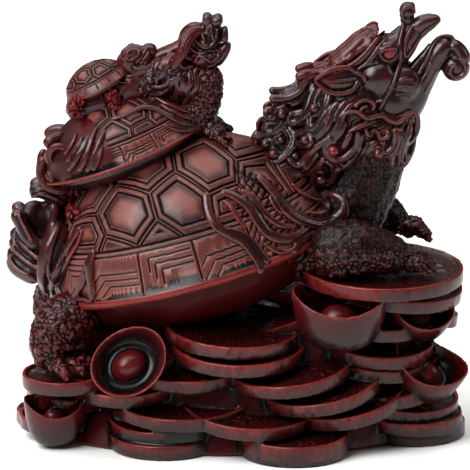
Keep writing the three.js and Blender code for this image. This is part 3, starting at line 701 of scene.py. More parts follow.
@dataclass
class Heap:
    """The heap of coins and ingots that the turtles stand on."""

    coin_thickness: float = 4.4
    coin_rim: float = 1.05
    coin_sink: float = 0.9
    # Rings of an ingot: shares of its outline, its height at the sides, and what its ends add.
    ingot_rings: tuple[Point, ...] = (
        (0.5, 0, 0),
        (0.6, 0.02, 0),
        (0.74, 0.1, 0.01),
        (0.86, 0.26, 0.04),
        (0.94, 0.46, 0.1),
        (0.985, 0.64, 0.17),
        (1, 0.74, 0.22),
        (0.985, 0.765, 0.22),
        (0.95, 0.75, 0.2),
        (0.9, 0.66, 0.16),
        (0.8, 0.52, 0.09),
        (0.68, 0.44, 0.04),
        (0.56, 0.42, 0.01),
        (0.47, 0.44, 0),
        (0.42, 0.49, 0),
        (0.37, 0.55, 0),
        (0.29, 0.62, 0),
        (0.19, 0.67, 0),
        (0.09, 0.695, 0),
    )
    ingot_width: float = 0.82
    ingot_height: float = 0.56
    near_coins: tuple[Coin, ...] = (
        Coin((19, -28, 0), 17.7, (2, 0), 1.6),
        Coin((-23, -20.5, 0), 17.5, (0, 0)),
        Coin((-22, -18, 5), 18.5, (5, -3), 1.2),
        Coin((-17, -14, 12.5), 24.5, (8, 0)),
        Coin((4, -21, 10), 21.5, (7, 4)),
        Coin((36, -18, 12.5), 19, (9, -9)),
        Coin((28, -20, 18), 20, (9, -9)),
        Coin((18, -21, 23.5), 20, (7, -6)),
        Coin((1, -19, 30), 21.5, (6, 1)),
        Coin((-1, -16, 35), 22, (5, 3)),
        Coin((-35, -11, 19), 20, (12, -2)),
        Coin((-33, -9, 26), 19, (8, -4)),
        Coin((-14, -14, 24), 20, (10, -2)),
        Coin((57, -5, 0), 17.5, (0, 0)),
        Coin((56, -7, 4.4), 17.3, (3, 3)),
        Coin((55, -5, 9.5), 17, (8, 6)),
        Coin((50, -10, 15.5), 17, (8, -4)),
        Coin((48, -10, 24), 17.5, (6, 2)),
        Coin((46, -12, 30), 18, (8, 4)),
        Coin((45, -10, 38), 19, (5, 4)),
        Coin((60, 6, 34), 12, (-6, 8)),
        Coin((49, -8, 48.5), 24, (3, 8)),
        Coin((47, -12, 53.4), 26.4, (2, 1)),
        Coin((-55, -21, 20.5), 13.4, (2, -1)),
        Coin((-57, -8, 4), 12.5, (4, -4)),
        Coin((-54, -10, 12), 13, (4, 3)),
    )
    near_ingots: tuple[Ingot, ...] = (
        Ingot((-34, -27, 27), 26, (62, 0), 38),
        Ingot((-58, -20, 1.5), 20, (14, 0), 10, 1.5),
        Ingot((33, -28, 36), 31, (8, 2), 0, 1.1),
        Ingot((58, -17, 37), 21, (26, 14), 15),
        Ingot((59, -16, 18), 25, (28, 20), -10, 1.1),
    )

    def far_side(self) -> tuple[list[Coin], list[Ingot]]:
        """Lays the layers of the far side, as the solid has them.

        Returns:
            The coins and the ingots.
        """
        coins = [Coin((-54, 20, 20.5), 13.4, (-2, -1))]
        ingots = [Ingot((-30, 26, 22), 24, (-40, 0), 20)]
        layers = (((56, 29), 0, 16.5, 5, 2), ((52, 26), 8, 17, 5, 3), ((46, 23), 16, 17.5, 4, 1))
        for reach, height, radius, count, ingot_at in layers:
            for i in range(count):
                angle = math.radians(12 + 156 * i / (count - 1))
                at = (reach[0] * math.cos(angle), reach[1] * math.sin(angle), height)
                if i == ingot_at:
                    ingots.append(Ingot(at, radius * 1.5, (-22, 0), i * 40))
                else:
                    coins.append(Coin(at, radius, (-3 - (i % 2) * 4, 2 * (i % 3))))
        for i in range(4):
            share = i / 3
            at = (8 + 34 * share, 15 - 2 * share, 24 + 24 * share)
            coins.append(Coin(at, 22 + 2 * share, (-6, -2 + 4 * share)))
        return coins, ingots

    def strike(self, clay: Clay, coin: Coin, seed: int) -> None:
        """Models a coin: a disc with a raised rim round a sunken face that bears worn strokes.

        Args:
            clay: What it is added to.
            coin: The coin.
            seed: Which strokes it bears.
        """
        top = self.coin_thickness * coin.thick
        bpy.ops.object.select_all(action="DESELECT")
        bpy.ops.mesh.primitive_cylinder_add(
            vertices=88, radius=coin.radius, depth=top, location=(0, 0, top / 2)
        )
        blank = bpy.context.object
        bpy.ops.object.transform_apply()
        bpy.ops.object.mode_set(mode="EDIT")
        bpy.ops.mesh.select_all(action="DESELECT")
        bpy.ops.object.mode_set(mode="OBJECT")
        for face in blank.data.polygons:
            face.select = face.normal.z > 0.9
        bpy.ops.object.mode_set(mode="EDIT")
        bpy.ops.mesh.inset(thickness=self.coin_rim, depth=0)
        bpy.ops.mesh.inset(thickness=0.35, depth=-self.coin_sink)
        bpy.ops.object.mode_set(mode="OBJECT")
        turn, at = coin.pose()
        points = corners(blank) @ turn.T + at
        clay.press(points, [tuple(p.vertices) for p in blank.data.polygons])
        bpy.data.objects.remove(blank)
        rng = np.random.default_rng(seed)
        face_height = top - self.coin_sink
        for quarter in range(4):
            middle = math.radians(90 * quarter + 45 * (seed % 2)) + rng.uniform(-0.2, 0.2)
            for _ in range(5):
                reach = coin.radius * rng.uniform(0.45, 0.78)
                angle = middle + rng.uniform(-0.34, 0.34)
                centre = np.array([reach * math.cos(angle), reach * math.sin(angle), face_height])
                half = rng.uniform(1.0, 2.2)
                heading = middle + rng.choice([0.0, math.pi / 2]) + rng.uniform(-0.2, 0.2)
                ahead = np.array([math.cos(heading), math.sin(heading), 0]) * half
                path = np.linspace(centre - ahead, centre + ahead, 8) @ turn.T + at
                outs = np.repeat([turn[:, 2]], 8, axis=0)
                clay.sweep(path, outs, rounded(path, np.full(8, 0.62)), Section(0.85))

    def pour(self, clay: Clay, ingot: Ingot) -> None:
        """Models an ingot: a boat with high ends, a thin lip and a dome.

        Args:
            clay: What it is added to.
            ingot: The ingot.
        """
        sides = 72
        turn, at = leaned(*ingot.lean, ingot.turn), np.array(ingot.at)
        angle = np.linspace(0, 2 * math.pi, sides, endpoint=False)
        half = ingot.length / 2
        height = ingot.length * self.ingot_height * ingot.tall
        rings = []
        for share, side, end in self.ingot_rings:
            rise = side + end * np.cos(angle) ** 2
            ring = [
                half * share * np.cos(angle), half * self.ingot_width * share * np.sin(angle), height * rise
            ]
            rings.append(np.stack(ring, axis=1))
        points = np.vstack([*rings, [[0, 0, 0]], [[0, 0, height * 0.7]]])
        last = len(rings) * sides
        faces: list[tuple[int, ...]] = []
        for i in range(sides):
            after = (i + 1) % sides
            faces.append((last, after, i))
            faces.append((last + 1, last - sides + i, last - sides + after))
            for ring in range(len(rings) - 1):
                base = ring * sides
                faces.append((base + i, base + after, base + sides + after, base + sides + i))
        clay.press(points @ turn.T + at, faces)

    def mound(self, clay: Clay) -> None:
        """Models the rough ground that shows between the coins.

        Args:
            clay: What it is added to.
        """
        sides = 96
        angle = np.linspace(0, 2 * math.pi, sides, endpoint=False)
        rings = []
        for share in np.linspace(0, 1, 14):
            length, width = 124 - 24 * share, 66 - 22 * share
            x = length / 2 * np.cos(angle)
            top = 21 + 29 * (x + 50) / 100
            rings.append(np.stack([x, width / 2 * np.sin(angle), share * top], axis=1))
        points = np.vstack([*rings, [[0, 0, 0]], [[0, 0, 35.5]]])
        last = len(rings) * sides
        faces: list[tuple[int, ...]] = []
        for i in range(sides):
            after = (i + 1) % sides
            faces.append((last, after, i))
            faces.append((last + 1, last - sides + i, last - sides + after))
            for ring in range(len(rings) - 1):
                base = ring * sides
                faces.append((base + i, base + after, base + sides + after, base + sides + i))
        clay.press(points, faces)

    def roughen(self, piece: bpy.types.Object, coins: Sequence[Coin], ingots: Sequence[Ingot]) -> None:
        """Makes the coins' faces granular and dark, and paints shade on the coins' sides and in the ingots,
        darker towards the bottom.

        Args:
            piece: The piece, in millimetres.
            coins: The piece's coins.
            ingots: Its ingots.
        """
        points, outs = corners(piece), normals(piece)
        dark_wash_and_shade, low = np.zeros(len(points)), np.zeros(len(points))
        for coin in coins:
            turn, at = coin.pose()
            local = (points - at) @ turn
            face = self.coin_thickness * coin.thick - self.coin_sink
            reach = np.hypot(local[:, 0], local[:, 1])
            inside = reach < coin.radius - self.coin_rim - 0.5
            level = np.abs(local[:, 2] - face) < 0.75
            dark_wash_and_shade = np.maximum(dark_wash_and_shade, inside & level & (outs @ turn[:, 2] > 0.3))
            side = (np.abs(reach - coin.radius) < 0.6) & (local[:, 2] > -0.5) & (local[:, 2] < face + 0.5)
            # Painted shade: a coin's side is darkened towards the bottom.
            low = np.maximum(low, side * (1 - smoothstep(0.2, face * 0.85, local[:, 2])))
        for ingot in ingots:
            turn = leaned(*ingot.lean, ingot.turn)
            local = (points - np.array(ingot.at)) @ turn
            half, height = ingot.length / 2, ingot.length * self.ingot_height * ingot.tall
            reach = np.hypot(local[:, 0] / half, local[:, 1] / (half * self.ingot_width))
            inside = (reach < 1.03) & (local[:, 2] > -0.5) & (local[:, 2] < height * 1.05)
            # Painted shade: an ingot's inside is darkened towards its floor.
            low = np.where(
                inside, 0.9 * (1 - smoothstep(0.15, 0.72, local[:, 2] / height)) * (outs @ turn[:, 2] < 0.2),
                low
            )
        _, gap = pebbles(points, 1.5, 5)
        lift = 0.16 * smoothstep(0, 0.5, gap) - 0.1
        place_corners(piece, points + outs * (dark_wash_and_shade * lift)[:, None])
        # The coins' faces are washed dark; the painted shade joins them in one mark, and the red is kept off
        # both.
        mark(piece, Mark.DARK_WASH_AND_SHADE, np.maximum(0.66 * dark_wash_and_shade, low))
        mark(piece, Mark.RED, 0.6 * (1 - dark_wash_and_shade) * (1 - low))
        mark(piece, Mark.POLISHED, 0.9 - 0.45 * dark_wash_and_shade)
        # Painted glints: the raised specks of the coins' faces are lit bright red.
        mark(piece, Mark.TINT, 0.2 * dark_wash_and_shade * smoothstep(0, 0.4, gap))

    def build(self, resin: bpy.types.Material) -> None:
        """Makes the near and the far half of the heap.

        Args:
            resin: The finish.
        """
        far_coins, far_ingots = self.far_side()
        halves = (
            ("coin_heap_near", self.near_coins, self.near_ingots, 0.42, 128000),
            ("coin_heap_far", far_coins, far_ingots, 0.5, 46000),
        )
        for name, coins, ingots, grid, limit in halves:
            clay = Clay()
            if name == "coin_heap_near":
                self.mound(clay)
            for seed, coin in enumerate(coins):
                self.strike(clay, coin, seed)
            for ingot in ingots:
                self.pour(clay, ingot)
            piece = clay.fuse(name, grid)
            self.roughen(piece, coins, ingots)
            finish(piece, resin, limit)


@dataclass
class Shell:
    """A turtle's shell: a dome of framed scutes, a double border and a margin of fretted plates."""

    name: str
    length: float
    width: float
    height: float
    centre: Point
    pitch: float
    cells: int
    scute: Spot
    line: float
    relief: float
    plates: int = 15
    first_plate: float = 14.4
    border: float = 0.903
    power: float = 0.62
    scute_shift: float = 0.143
    row_tilt: float = 0.22
    fretted: bool = True
    hatched: bool = False
    plain_from: float = -1.5
    limit: int = 110000
    arcs: Array = field(init=False)
    shares: Array = field(init=False)

    def __post_init__(self) -> None:
        """Measures the arc from the crown to even shares of the outline, in mean half widths."""
        self.shares = np.linspace(0, 1, 201)
        climb = np.diff(self.rise(self.shares)) / ((self.length + self.width) / 4)
        self.arcs = np.concatenate([[0], np.cumsum(np.hypot(np.diff(self.shares), climb))])

    @property
    def half(self) -> Array:
        """Gives the half length and half width."""
        return np.array([self.length / 2, self.width / 2])

    @property
    def turn(self) -> Array:
        """Gives the shell's pitch as a turn."""
        return pitched(self.pitch)

    def rise(self, share: Array) -> Array:
        """Gives the height over the rim's plane at a share of the outline.

        Args:
            share: Shares of the way from the crown to the rim.

        Returns:
            The heights in millimetres.
        """
        edge = (1 - self.border**2) ** self.power * self.height
        dome = self.height * np.maximum(0, 1 - np.minimum(share, self.border) ** 2) ** self.power
        margin = edge * (1 - share) / (1 - self.border)
        return np.where(share < self.border, dome, margin)

    def way_out(self, along: Array, across: Array) -> Array:
        """Gives the way out of the dome at shares of its half sizes, in the shell's own frame.

        Args:
            along: The places' shares of the half length.
            across: Their shares of the half width.

        Returns:
            The way out at each place.
        """
        share = np.hypot(along, across)
        up = np.maximum(0.12, self.rise(share) / self.height) / self.height
        return unit(np.stack([along / self.half[0], across / self.half[1], up], axis=-1))

    def point(self, along: float, across: float, lift: float = 0.0) -> Array:
        """Gives a place over the dome in the figure's frame.

        Args:
            along: The place's share of the half length.
            across: Its share of the half width.
            lift: How far over the dome it is.

        Returns:
            The place.
        """
        share = np.hypot(along, across)
        local = np.array([along * self.half[0], across * self.half[1], float(self.rise(share))])
        local = local + lift * self.way_out(np.array(along), np.array(across))
        return self.turn @ local + np.array(self.centre)

    def unrolled(self, along: Array, across: Array) -> Array:
        """Gives a place's distances from the crown on the unrolled dome, in millimetres.

        Args:
            along: The places' shares of the half length.
            across: Their shares of the half width.

        Returns:
            The distances along and across.
        """
        share = np.hypot(along, across)
        stretch = np.interp(share, self.shares, self.arcs) / np.maximum(share, 1e-6)
        return np.stack([along * stretch * self.half[0], across * stretch * self.half[1]], axis=1)

    def rolled(self, u: Array, v: Array) -> Array:
        """Gives the share of the outline at which places of the unrolled dome lie.

        Args:
            u: The places' distances along.
            v: Their distances across.

        Returns:
            The shares.
        """
        angle = np.arctan2(v / self.half[1], u / self.half[0])
        reach = np.hypot(self.half[0] * np.cos(angle), self.half[1] * np.sin(angle))
        return np.interp(np.hypot(u, v) / reach, self.arcs, self.shares)

    def scute_middles(self) -> Array:
        """Gives the middles of the scutes on the unrolled dome.

        Returns:
            The middles, one a row.
        """
        width, tall = self.length * self.scute[0], self.length * self.scute[1]
        size = tall / 1.5
        kept = []
        for row in range(-4, 5):
            for column in range(-5, 6):
                u, v = (column + (0.5 if row % 2 else 0) + self.scute_shift) * width, row * tall
                angles = np.arange(6) * math.pi / 3 + math.pi / 6
                places = np.column_stack([u + size * np.cos(angles), v + size * np.sin(angles)])
                shares = self.rolled(*self.slid(places, back=True).T)
                if shares.min() < self.border * 0.95:
                    kept.append((u, v))
        return np.array(kept)

    def slid(self, flat: Array, back: bool = False) -> Array:
        """Slides the rows of scutes aside, the lower the more, so that they run down to the back.

        Args:
            flat: Places on the unrolled dome.
            back: True to slide them back.

        Returns:
            The places, slid.
        """
        reach = smoothstep(0, 0.19 * self.length, np.abs(flat[:, 1]))
        shift = np.sign(flat[:, 1]) * self.row_tilt * reach * (flat[:, 0] - 0.03 * self.length)
        return np.column_stack([flat[:, 0], flat[:, 1] + (shift if back else -shift)])

    def from_edges(self, flat: Array) -> Array:
        """Gives the distance of places on the unrolled dome from the nearest line between scutes.

        Args:
            flat: The places.

        Returns:
            The distances in millimetres.
        """
        middles = self.scute_middles()
        away = np.linalg.norm(flat[:, None] - middles[None], axis=2)
        own = np.argmin(away, axis=1)
        nearest = away[np.arange(len(flat)), own]
        edge = np.full(len(flat), 99.0)
        for other in range(len(middles)):
            apart = np.linalg.norm(middles[other] - middles[own], axis=1)
            gap = (away[:, other] ** 2 - nearest**2) / (2 * np.maximum(apart, 1e-6))
            edge = np.minimum(edge, np.where(own == other, 99.0, gap))
        return edge

    def plate_lines(self, angle: Array, down: Array, tall: float) -> tuple[Array, Array]:
        """Gives the distances from the lines of the margin's plates, and from the plates' borders.

        Args:
            angle: The places' angles round the shell.
            down: Their distances below the border, in millimetres.
            tall: The margin's height.

        Returns:
            The distance from the nearest line inside a plate, and from the nearest plate's border.
        """
        turned = np.abs(np.degrees(np.arctan2(np.sin(angle), np.cos(angle))))
        step = 360 / self.plates
        index = np.floor((turned - self.first_plate) / step)
        share = (turned - self.first_plate) / step - index
        wide = math.radians(step) * (self.half[0] + self.half[1]) / 2
        edge = np.minimum(share, 1 - share) * wide
        edge = np.where((index < 0) | (index > 5), 9.0, edge)
        along = (1 - share) * wide
        nested = np.full(len(angle), 9.0)
        unit_size = tall / 14.8
        for k in range(3):
            gap = (2.4 + 1.9 * k) * unit_size
            top, left = gap + 0.6 * unit_size, gap + 0.8 * unit_size
            if not self.fretted:
                break
            level = np.where(along > left, np.abs(down - top), 9.0)
            upright = np.where((down > top) & (down < top + 4.4 * unit_size), np.abs(along - left), 9.0)
            low_level = np.where(along > left, np.abs(down - top - 3.4 * unit_size), 9.0)
            low_slant = np.abs((down - top - 3.4 * unit_size) + (along - left) * 1.1) / 1.49
            low_slanted = np.where((along < left) & (down > top + 3.4 * unit_size), low_slant, 9.0)
            fret = np.minimum(level, upright)
            steps = np.minimum(low_level, low_slanted)
            nested = np.minimum(nested, np.where(index % 2 == 0, steps, fret))
        inside = (down > 1.6 * unit_size) & (down < tall - 1.0 * unit_size) & (edge > 0.9 * unit_size)
        return np.where(inside & (edge < 8.9), nested, 9.0), edge

    def carved(self, along: Array, across: Array) -> tuple[Array, Array]:
        """Works out the carving.

        Args:
            along: The places' shares of the half length.
            across: Their shares of the half width.

        Returns:
            The height of the carving in millimetres, and the distance from the nearest groove.
        """
        share = np.hypot(along, across)
        angle = np.arctan2(across, along)
        edge = self.from_edges(self.slid(self.unrolled(along, across)))
        radius = np.hypot(np.cos(angle) * self.half[0], np.sin(angle) * self.half[1])
        arc = np.interp(share, self.shares, self.arcs) * radius
        border_arc = np.interp(self.border, self.shares, self.arcs) * radius
        below = arc - border_arc
        tall = float(np.mean((self.arcs[-1] - np.interp(self.border, self.shares, self.arcs)) * radius))
        size = self.line
        inward = np.minimum(edge, -below - 0.9 * size)
        scute_grooves = np.minimum(np.abs(edge - 0.62 * size), np.abs(inward - 2.9 * size))
        scute_grooves = np.where(below < -0.7 * size, scute_grooves, 9.0)
        border_grooves = np.minimum(np.abs(below + 0.8 * size), np.abs(below - 0.8 * size))
        nested, plate_edge = self.plate_lines(angle, below, tall)
        plate_grooves = np.where(below > 0.9 * size, np.abs(plate_edge), 9.0)
        groove = np.minimum(np.minimum(scute_grooves, border_grooves), plate_grooves)
        fine_groove = np.where(below > 0, nested + 0.08 * size, 9.0)
        groove = np.minimum(groove, fine_groove)
        middle = smoothstep(3.0 * size, 8 * size, inward) * (below < 0)
        frame_band = smoothstep(0.4 * size, 1.0 * size, inward) * (
            1 - smoothstep(2.4 * size, 3.2 * size, inward)
        )
        height = self.relief * (0.35 * middle + 0.35 * frame_band * (below < -0.9 * size))
        height = height - self.relief * 0.62 * (1 - smoothstep(0.12 * size, 0.5 * size, groove))
        if self.hatched:
            # Under the strands of the front, the ground between the lines is hatched.
            flat = self.unrolled(along, across)
            front = smoothstep(0.36, 0.48, along) * smoothstep(0.44, 0.52, np.abs(across)) * (share < 0.985)
            bars = np.abs(np.sin(math.pi * (flat[:, 0] + 0.45 * np.abs(flat[:, 1])) / 2.6))
            broken = smoothstep(
                0.1, 0.35, np.abs(np.sin(math.pi * (np.abs(flat[:, 1]) - 0.4 * flat[:, 0]) / 11))
            )
            bars = smoothstep(0.3, 0.9, bars) * broken
            height = height + front * (0.3 * bars - 0.35)
            groove = np.where(front > 0.5, 0.24 + 0.3 * bars, groove)
        return height, groove

    def form(self) -> Clay:
        """Gives the plain shell, which strands are laid on.

        Returns:
            The plain shell.
        """
        sides = 120
        share = np.concatenate([np.linspace(0, 1, 40), [1.02, 1.02, 0.9]])
        low = np.concatenate(
            [self.rise(np.linspace(0, 1, 40)), np.array([-0.01, -0.06, -0.07]) * self.height]
        )
        angle = np.linspace(0, 2 * math.pi, sides, endpoint=False)
        rings = [
            np.stack(
                [s * np.cos(angle) * self.half[0], s * np.sin(angle) * self.half[1], np.full(sides, z)],
                axis=1
            )
            for s, z in zip(share, low)
        ]
        faces = [
            (
                ring * sides + i, ring * sides + (i + 1) % sides, (ring + 1) * sides + (i + 1) % sides,
                (ring + 1) * sides + i
            )
            for ring in range(len(share) - 1)
            for i in range(sides)
        ]
        clay = Clay()
        clay.press(np.vstack(rings) @ self.turn.T + np.array(self.centre), faces)
        return clay

    def build(self, resin: bpy.types.Material) -> None:
        """Makes the shell as one closed skin, its top carved and its lip rolled under.

        Args:
            resin: The finish.
        """
        count = int(self.cells / COARSE)
        bpy.ops.object.select_all(action="DESELECT")
        bpy.ops.mesh.primitive_grid_add(x_subdivisions=count, y_subdivisions=count, size=2)
        piece = bpy.context.object
        piece.name = self.name
        square = corners(piece)[:, :2]
        disc = np.stack(
            [
                square[:, 0] * np.sqrt(1 - square[:, 1] ** 2 / 2),
                square[:, 1] * np.sqrt(1 - square[:, 0] ** 2 / 2)
            ],
            axis=1,
        )
        reach = np.hypot(disc[:, 0], disc[:, 1])
        share = np.interp(reach * self.arcs[-1], self.arcs, self.shares)
        spread = disc * (share / np.maximum(reach, 1e-9))[:, None]
        height, groove = self.carved(spread[:, 0], spread[:, 1])
        kept = smoothstep(self.plain_from - 0.14, self.plain_from, spread[:, 0] - 0.25 * np.abs(spread[:, 1]))
        groove = np.where(kept < 0.4, 0.85 * self.line, groove)
        height = height * kept
        outs = self.way_out(spread[:, 0], spread[:, 1])
        top = np.column_stack([spread * self.half, self.rise(share)])
        rim = np.abs(share - 1) < 1e-6
        top = top + outs * np.where(rim, 0, height)[:, None]
        place_corners(piece, top)
        grooves = [groove]
        lip = 0.055 * self.height
        pick(piece)
        for grow, drop in (
            (1.012, 0.15), (1.02, 0.5), (1.018, 0.9), (1.0, 1.25), (0.96, 1.4), (0.5, 1.4), (0.02, 1.4)
        ):
            bpy.ops.object.mode_set(mode="EDIT")
            bpy.ops.mesh.select_mode(type="EDGE")
            bpy.ops.mesh.select_all(action="DESELECT")
            bpy.ops.mesh.select_non_manifold()
            bpy.ops.mesh.extrude_edges_move()
            bpy.ops.object.mode_set(mode="OBJECT")
            points = corners(piece)
            fresh = np.zeros(len(points), bool)
            fresh[sum(len(g) for g in grooves) :] = True
            ring = points[fresh]
            scale = grow / np.hypot(ring[:, 0] / self.half[0], ring[:, 1] / self.half[1])
            ring[:, :2] *= scale[:, None]
            ring[:, 2] = -lip * drop
            points[fresh] = ring
            place_corners(piece, points)
            grooves.append(np.zeros(int(fresh.sum())))
        bpy.ops.object.mode_set(mode="EDIT")
        bpy.ops.mesh.select_all(action="DESELECT")
        bpy.ops.mesh.select_non_manifold()
        bpy.ops.mesh.fill()
        bpy.ops.mesh.select_all(action="SELECT")
        bpy.ops.mesh.normals_make_consistent(inside=False)
        bpy.ops.object.mode_set(mode="OBJECT")
        place_corners(piece, corners(piece) @ self.turn.T + np.array(self.centre))
        mark(piece, Mark.GROOVE, np.concatenate(grooves) / self.line)
        upper = 0.7 * (1 - kept) * smoothstep(-0.58, -0.34, spread[:, 0])
        mark(piece, Mark.RED, np.concatenate([upper, np.full(len(piece.data.vertices) - len(kept), 0.7)]))
        margin = smoothstep(self.border - 0.01, self.border + 0.01, share) * kept
        mark(piece, Mark.POLISHED, np.concatenate([margin, np.zeros(len(piece.data.vertices) - len(kept))]))
        finish(piece, resin, self.limit, (3, 50))


BIG_SHELL = Shell(
    name="big_shell",
    length=96,
    width=74,
    height=40,
    centre=(-13, 0, 58.5),
    pitch=15.6,
    cells=270,
    scute=(0.222, 0.168),
    line=1.0,
    relief=0.85,
    hatched=True,
)
MIDDLE_SHELL = Shell(
    name="middle_shell",
    length=55,
    width=41,
    height=17,
    centre=tuple(BIG_SHELL.point(-0.267, 0, 1.5)),
    pitch=21,
    cells=170,
    scute=(0.222, 0.168),
    line=0.62,
    relief=0.5,
    plain_from=-0.2,
    limit=42000,
)
SMALL_SHELL = Shell(
    name="small_shell",
    length=22.5,
    width=18,
    height=7.5,
    centre=tuple(MIDDLE_SHELL.point(0.013, 0, 5.7)),
    pitch=28.4,
    cells=90,
    scute=(0.3, 0.25),
    line=0.4,
    relief=0.35,
    fretted=False,
    limit=12000,
)


@dataclass
class Body:
    """The big turtle's neck, belly and legs, in pebbled skin."""

    shell: Shell
    front_footing: float = 57.8
    rear_footing: float = 24.9
    neck: tuple[Point, ...] = ((20, 0, 60), (33, 0, 69), (40.5, 0, 81), (44.5, 0, 95), (45.5, 0, 108))
    neck_widths: tuple[float, ...] = (13.5, 12.6, 12, 11.5, 11)
    front_leg: tuple[Point, ...] = (
        (0.385, -0.23, 0.052), (0.53, -0.26, 0.094), (0.646, -0.25, 0.068), (0.7, -0.22, 0.027)
    )
    front_widths: tuple[float, ...] = (9, 9.6, 9.2, 7.2, 5.4)
    rear_leg: tuple[Point, ...] = (
        (-0.333, -0.146, 0.2), (-0.448, -0.2, 0.152), (-0.474, -0.23, 0.074), (-0.448, -0.24, 0.024)
    )
    rear_widths: tuple[float, ...] = (8.6, 9.0, 8.8, 7.8, 6.6)

    def joints(self, leg: tuple[Point, ...], footing: float, side: float) -> list[Array]:
        """Gives a leg's joints, with their heights over the coin it stands on.

        Args:
            leg: The joints as shares of the shell's length.
            footing: The height of the coin.
            side: 1 for the near side and -1 for the far one.

        Returns:
            The joints in the figure's frame.
        """
        length = self.shell.length
        x, y, _ = self.shell.centre
        return [np.array([x + a * length, y + b * length * side, footing + c * length]) for a, b, c in leg]

    def leg(
        self, clay: Clay, leg: tuple[Point, ...], widths: Sequence[float], footing: float, side: float,
        toes: Point
    ) -> None:
        """Adds a leg with a bent knee and claws.

        Args:
            clay: What it is added to.
            leg: Its joints.
            widths: Its half widths.
            footing: The height of the coin it stands on.
            side: 1 for the near side and -1 for the far one.
            toes: The way that its claws point.
        """
        joints = self.joints(leg, footing, side)
        clay.strand(joints, widths, Section(1.0), steps=40)
        foot = joints[-1]
        ahead = unit(np.array([toes[0], toes[1] * side, 0.0]))
        aside = np.array([-ahead[1], ahead[0], 0.0])
        for place in (-1.0, 0.0, 1.0):
            way = unit(ahead + aside * place * 0.4)
            root = foot + aside * place * 4.0
            line = [
                root - way * 2 + [0, 0, 1], root + way * 4 + [0, 0, 1.6], root + way * 8 + [0, 0, -0.4],
                root + way * 10 + [0, 0, -2.2]
            ]
            clay.strand(line, (2.6, 2.5, 2.0, 0.9), Section(1.0), steps=20)

    def shoulders(self, clay: Clay) -> None:
        """Adds the neck and what it rises from."""
        clay.strand(self.neck, self.neck_widths, Section(1.0), steps=50)
        clay.ball((28, 0, 62), (20, 24, 11), pitched(10))

    def build(self, resin: bpy.types.Material) -> None:
        """Makes the smooth belly, and the pebbled neck and legs.

        Args:
            resin: The finish.
        """
        shell = self.shell
        clay = Clay()
        belly_centre = shell.turn @ np.array([0, 0, -shell.height * 0.1]) + np.array(shell.centre)
        clay.ball(belly_centre, (shell.half[0] * 0.9, shell.half[1] * 0.88, shell.height * 0.42), shell.turn)
        clay.ball((-42, 0, 31), (13, 15, 10))
        belly = clay.fuse("big_belly", 0.8, 6)
        # The belly is red, and darkened all over as painted shade under the shell.
        mark(belly, Mark.RED, np.full(len(belly.data.vertices), 1.0))
        mark(belly, Mark.DARK_WASH_AND_SHADE, np.full(len(belly.data.vertices), 0.7))
        finish(belly, resin, 10000, (3, 12))
        clay = Clay()
        self.shoulders(clay)
        for side in BOTH:
            self.leg(clay, self.front_leg, self.front_widths, self.front_footing, side, (1, -0.1, 0))
            self.leg(clay, self.rear_leg, self.rear_widths, self.rear_footing, side, (0.8, -0.6, 0))
        limbs = clay.fuse("big_limbs", 0.42, 6)
        points, outs = corners(limbs), normals(limbs)
        on_neck = smoothstep(64, 70, points[:, 2]) * (points[:, 0] > 10)
        rear = points[:, 0] < -10
        place_corners(
            limbs,
            points + outs * (craggy(points, 1.5, 3) * np.where(rear, 0.85, 1.1 - 0.55 * on_neck))[:, None]
        )
        # The legs are washed dark, and the neck darker still as painted shade under the mane.
        mark(limbs, Mark.DARK_WASH_AND_SHADE, np.where(rear, 0.4, 0.6 + 0.35 * on_neck))
        mark(limbs, Mark.RED, 0.35 * rear)
        finish(limbs, resin, 120000, (3, 22))


@dataclass(frozen=True)
class Thread(Drawn):
    """A thin raised line of a face or fold, and its half width."""

    width: float
    lift: float = 0.15


def seen_at(x: float, up: float, aside: float) -> Array:
    """Gives the place that is seen at x and up, and lies aside of the middle on the near side."""
    return np.array([x, -aside, (up + aside * math.sin(SIGHT_TILT)) / math.cos(SIGHT_TILT)])


@dataclass(frozen=True)
class Bulk:
    """A thick strand of a form: x, height as seen and distance aside of its places, and half widths."""

    line: tuple[float, ...]
    widths: tuple[float, ...]
    section: Section = Section()

    def add(self, clay: Clay) -> None:
        """Adds it to both sides, or once where it lies in the middle."""
        places = np.reshape(self.line, (-1, 3))
        for side in BOTH if places[:, 2].any() else BOTH[:1]:
            flip = np.array([1.0, side, 1.0])
            path = [seen_at(*place) * flip for place in places]
            clay.strand(path, self.widths, self.section, np.array([-0.2, -1.0, 0.3]) * flip, 30)


def thread_on(clay: Clay, ground: Ground, threads: Iterable[Thread]) -> None:
    """Lays thin raised lines on a form, on both sides.

    Args:
        clay: What it is added to.
        ground: The form that they are laid on.
        threads: The lines.
    """
    for thread in threads:
        path, outs = ground.seen(thread.points, max(12, int(thread.length * 2)), thread.lift)
        widths = rounded(path, np.full(len(path), thread.width))
        for side in BOTH:
            flip = np.array([1.0, side, 1.0])
            clay.sweep(path * flip, outs * flip, widths, Section(0.95))


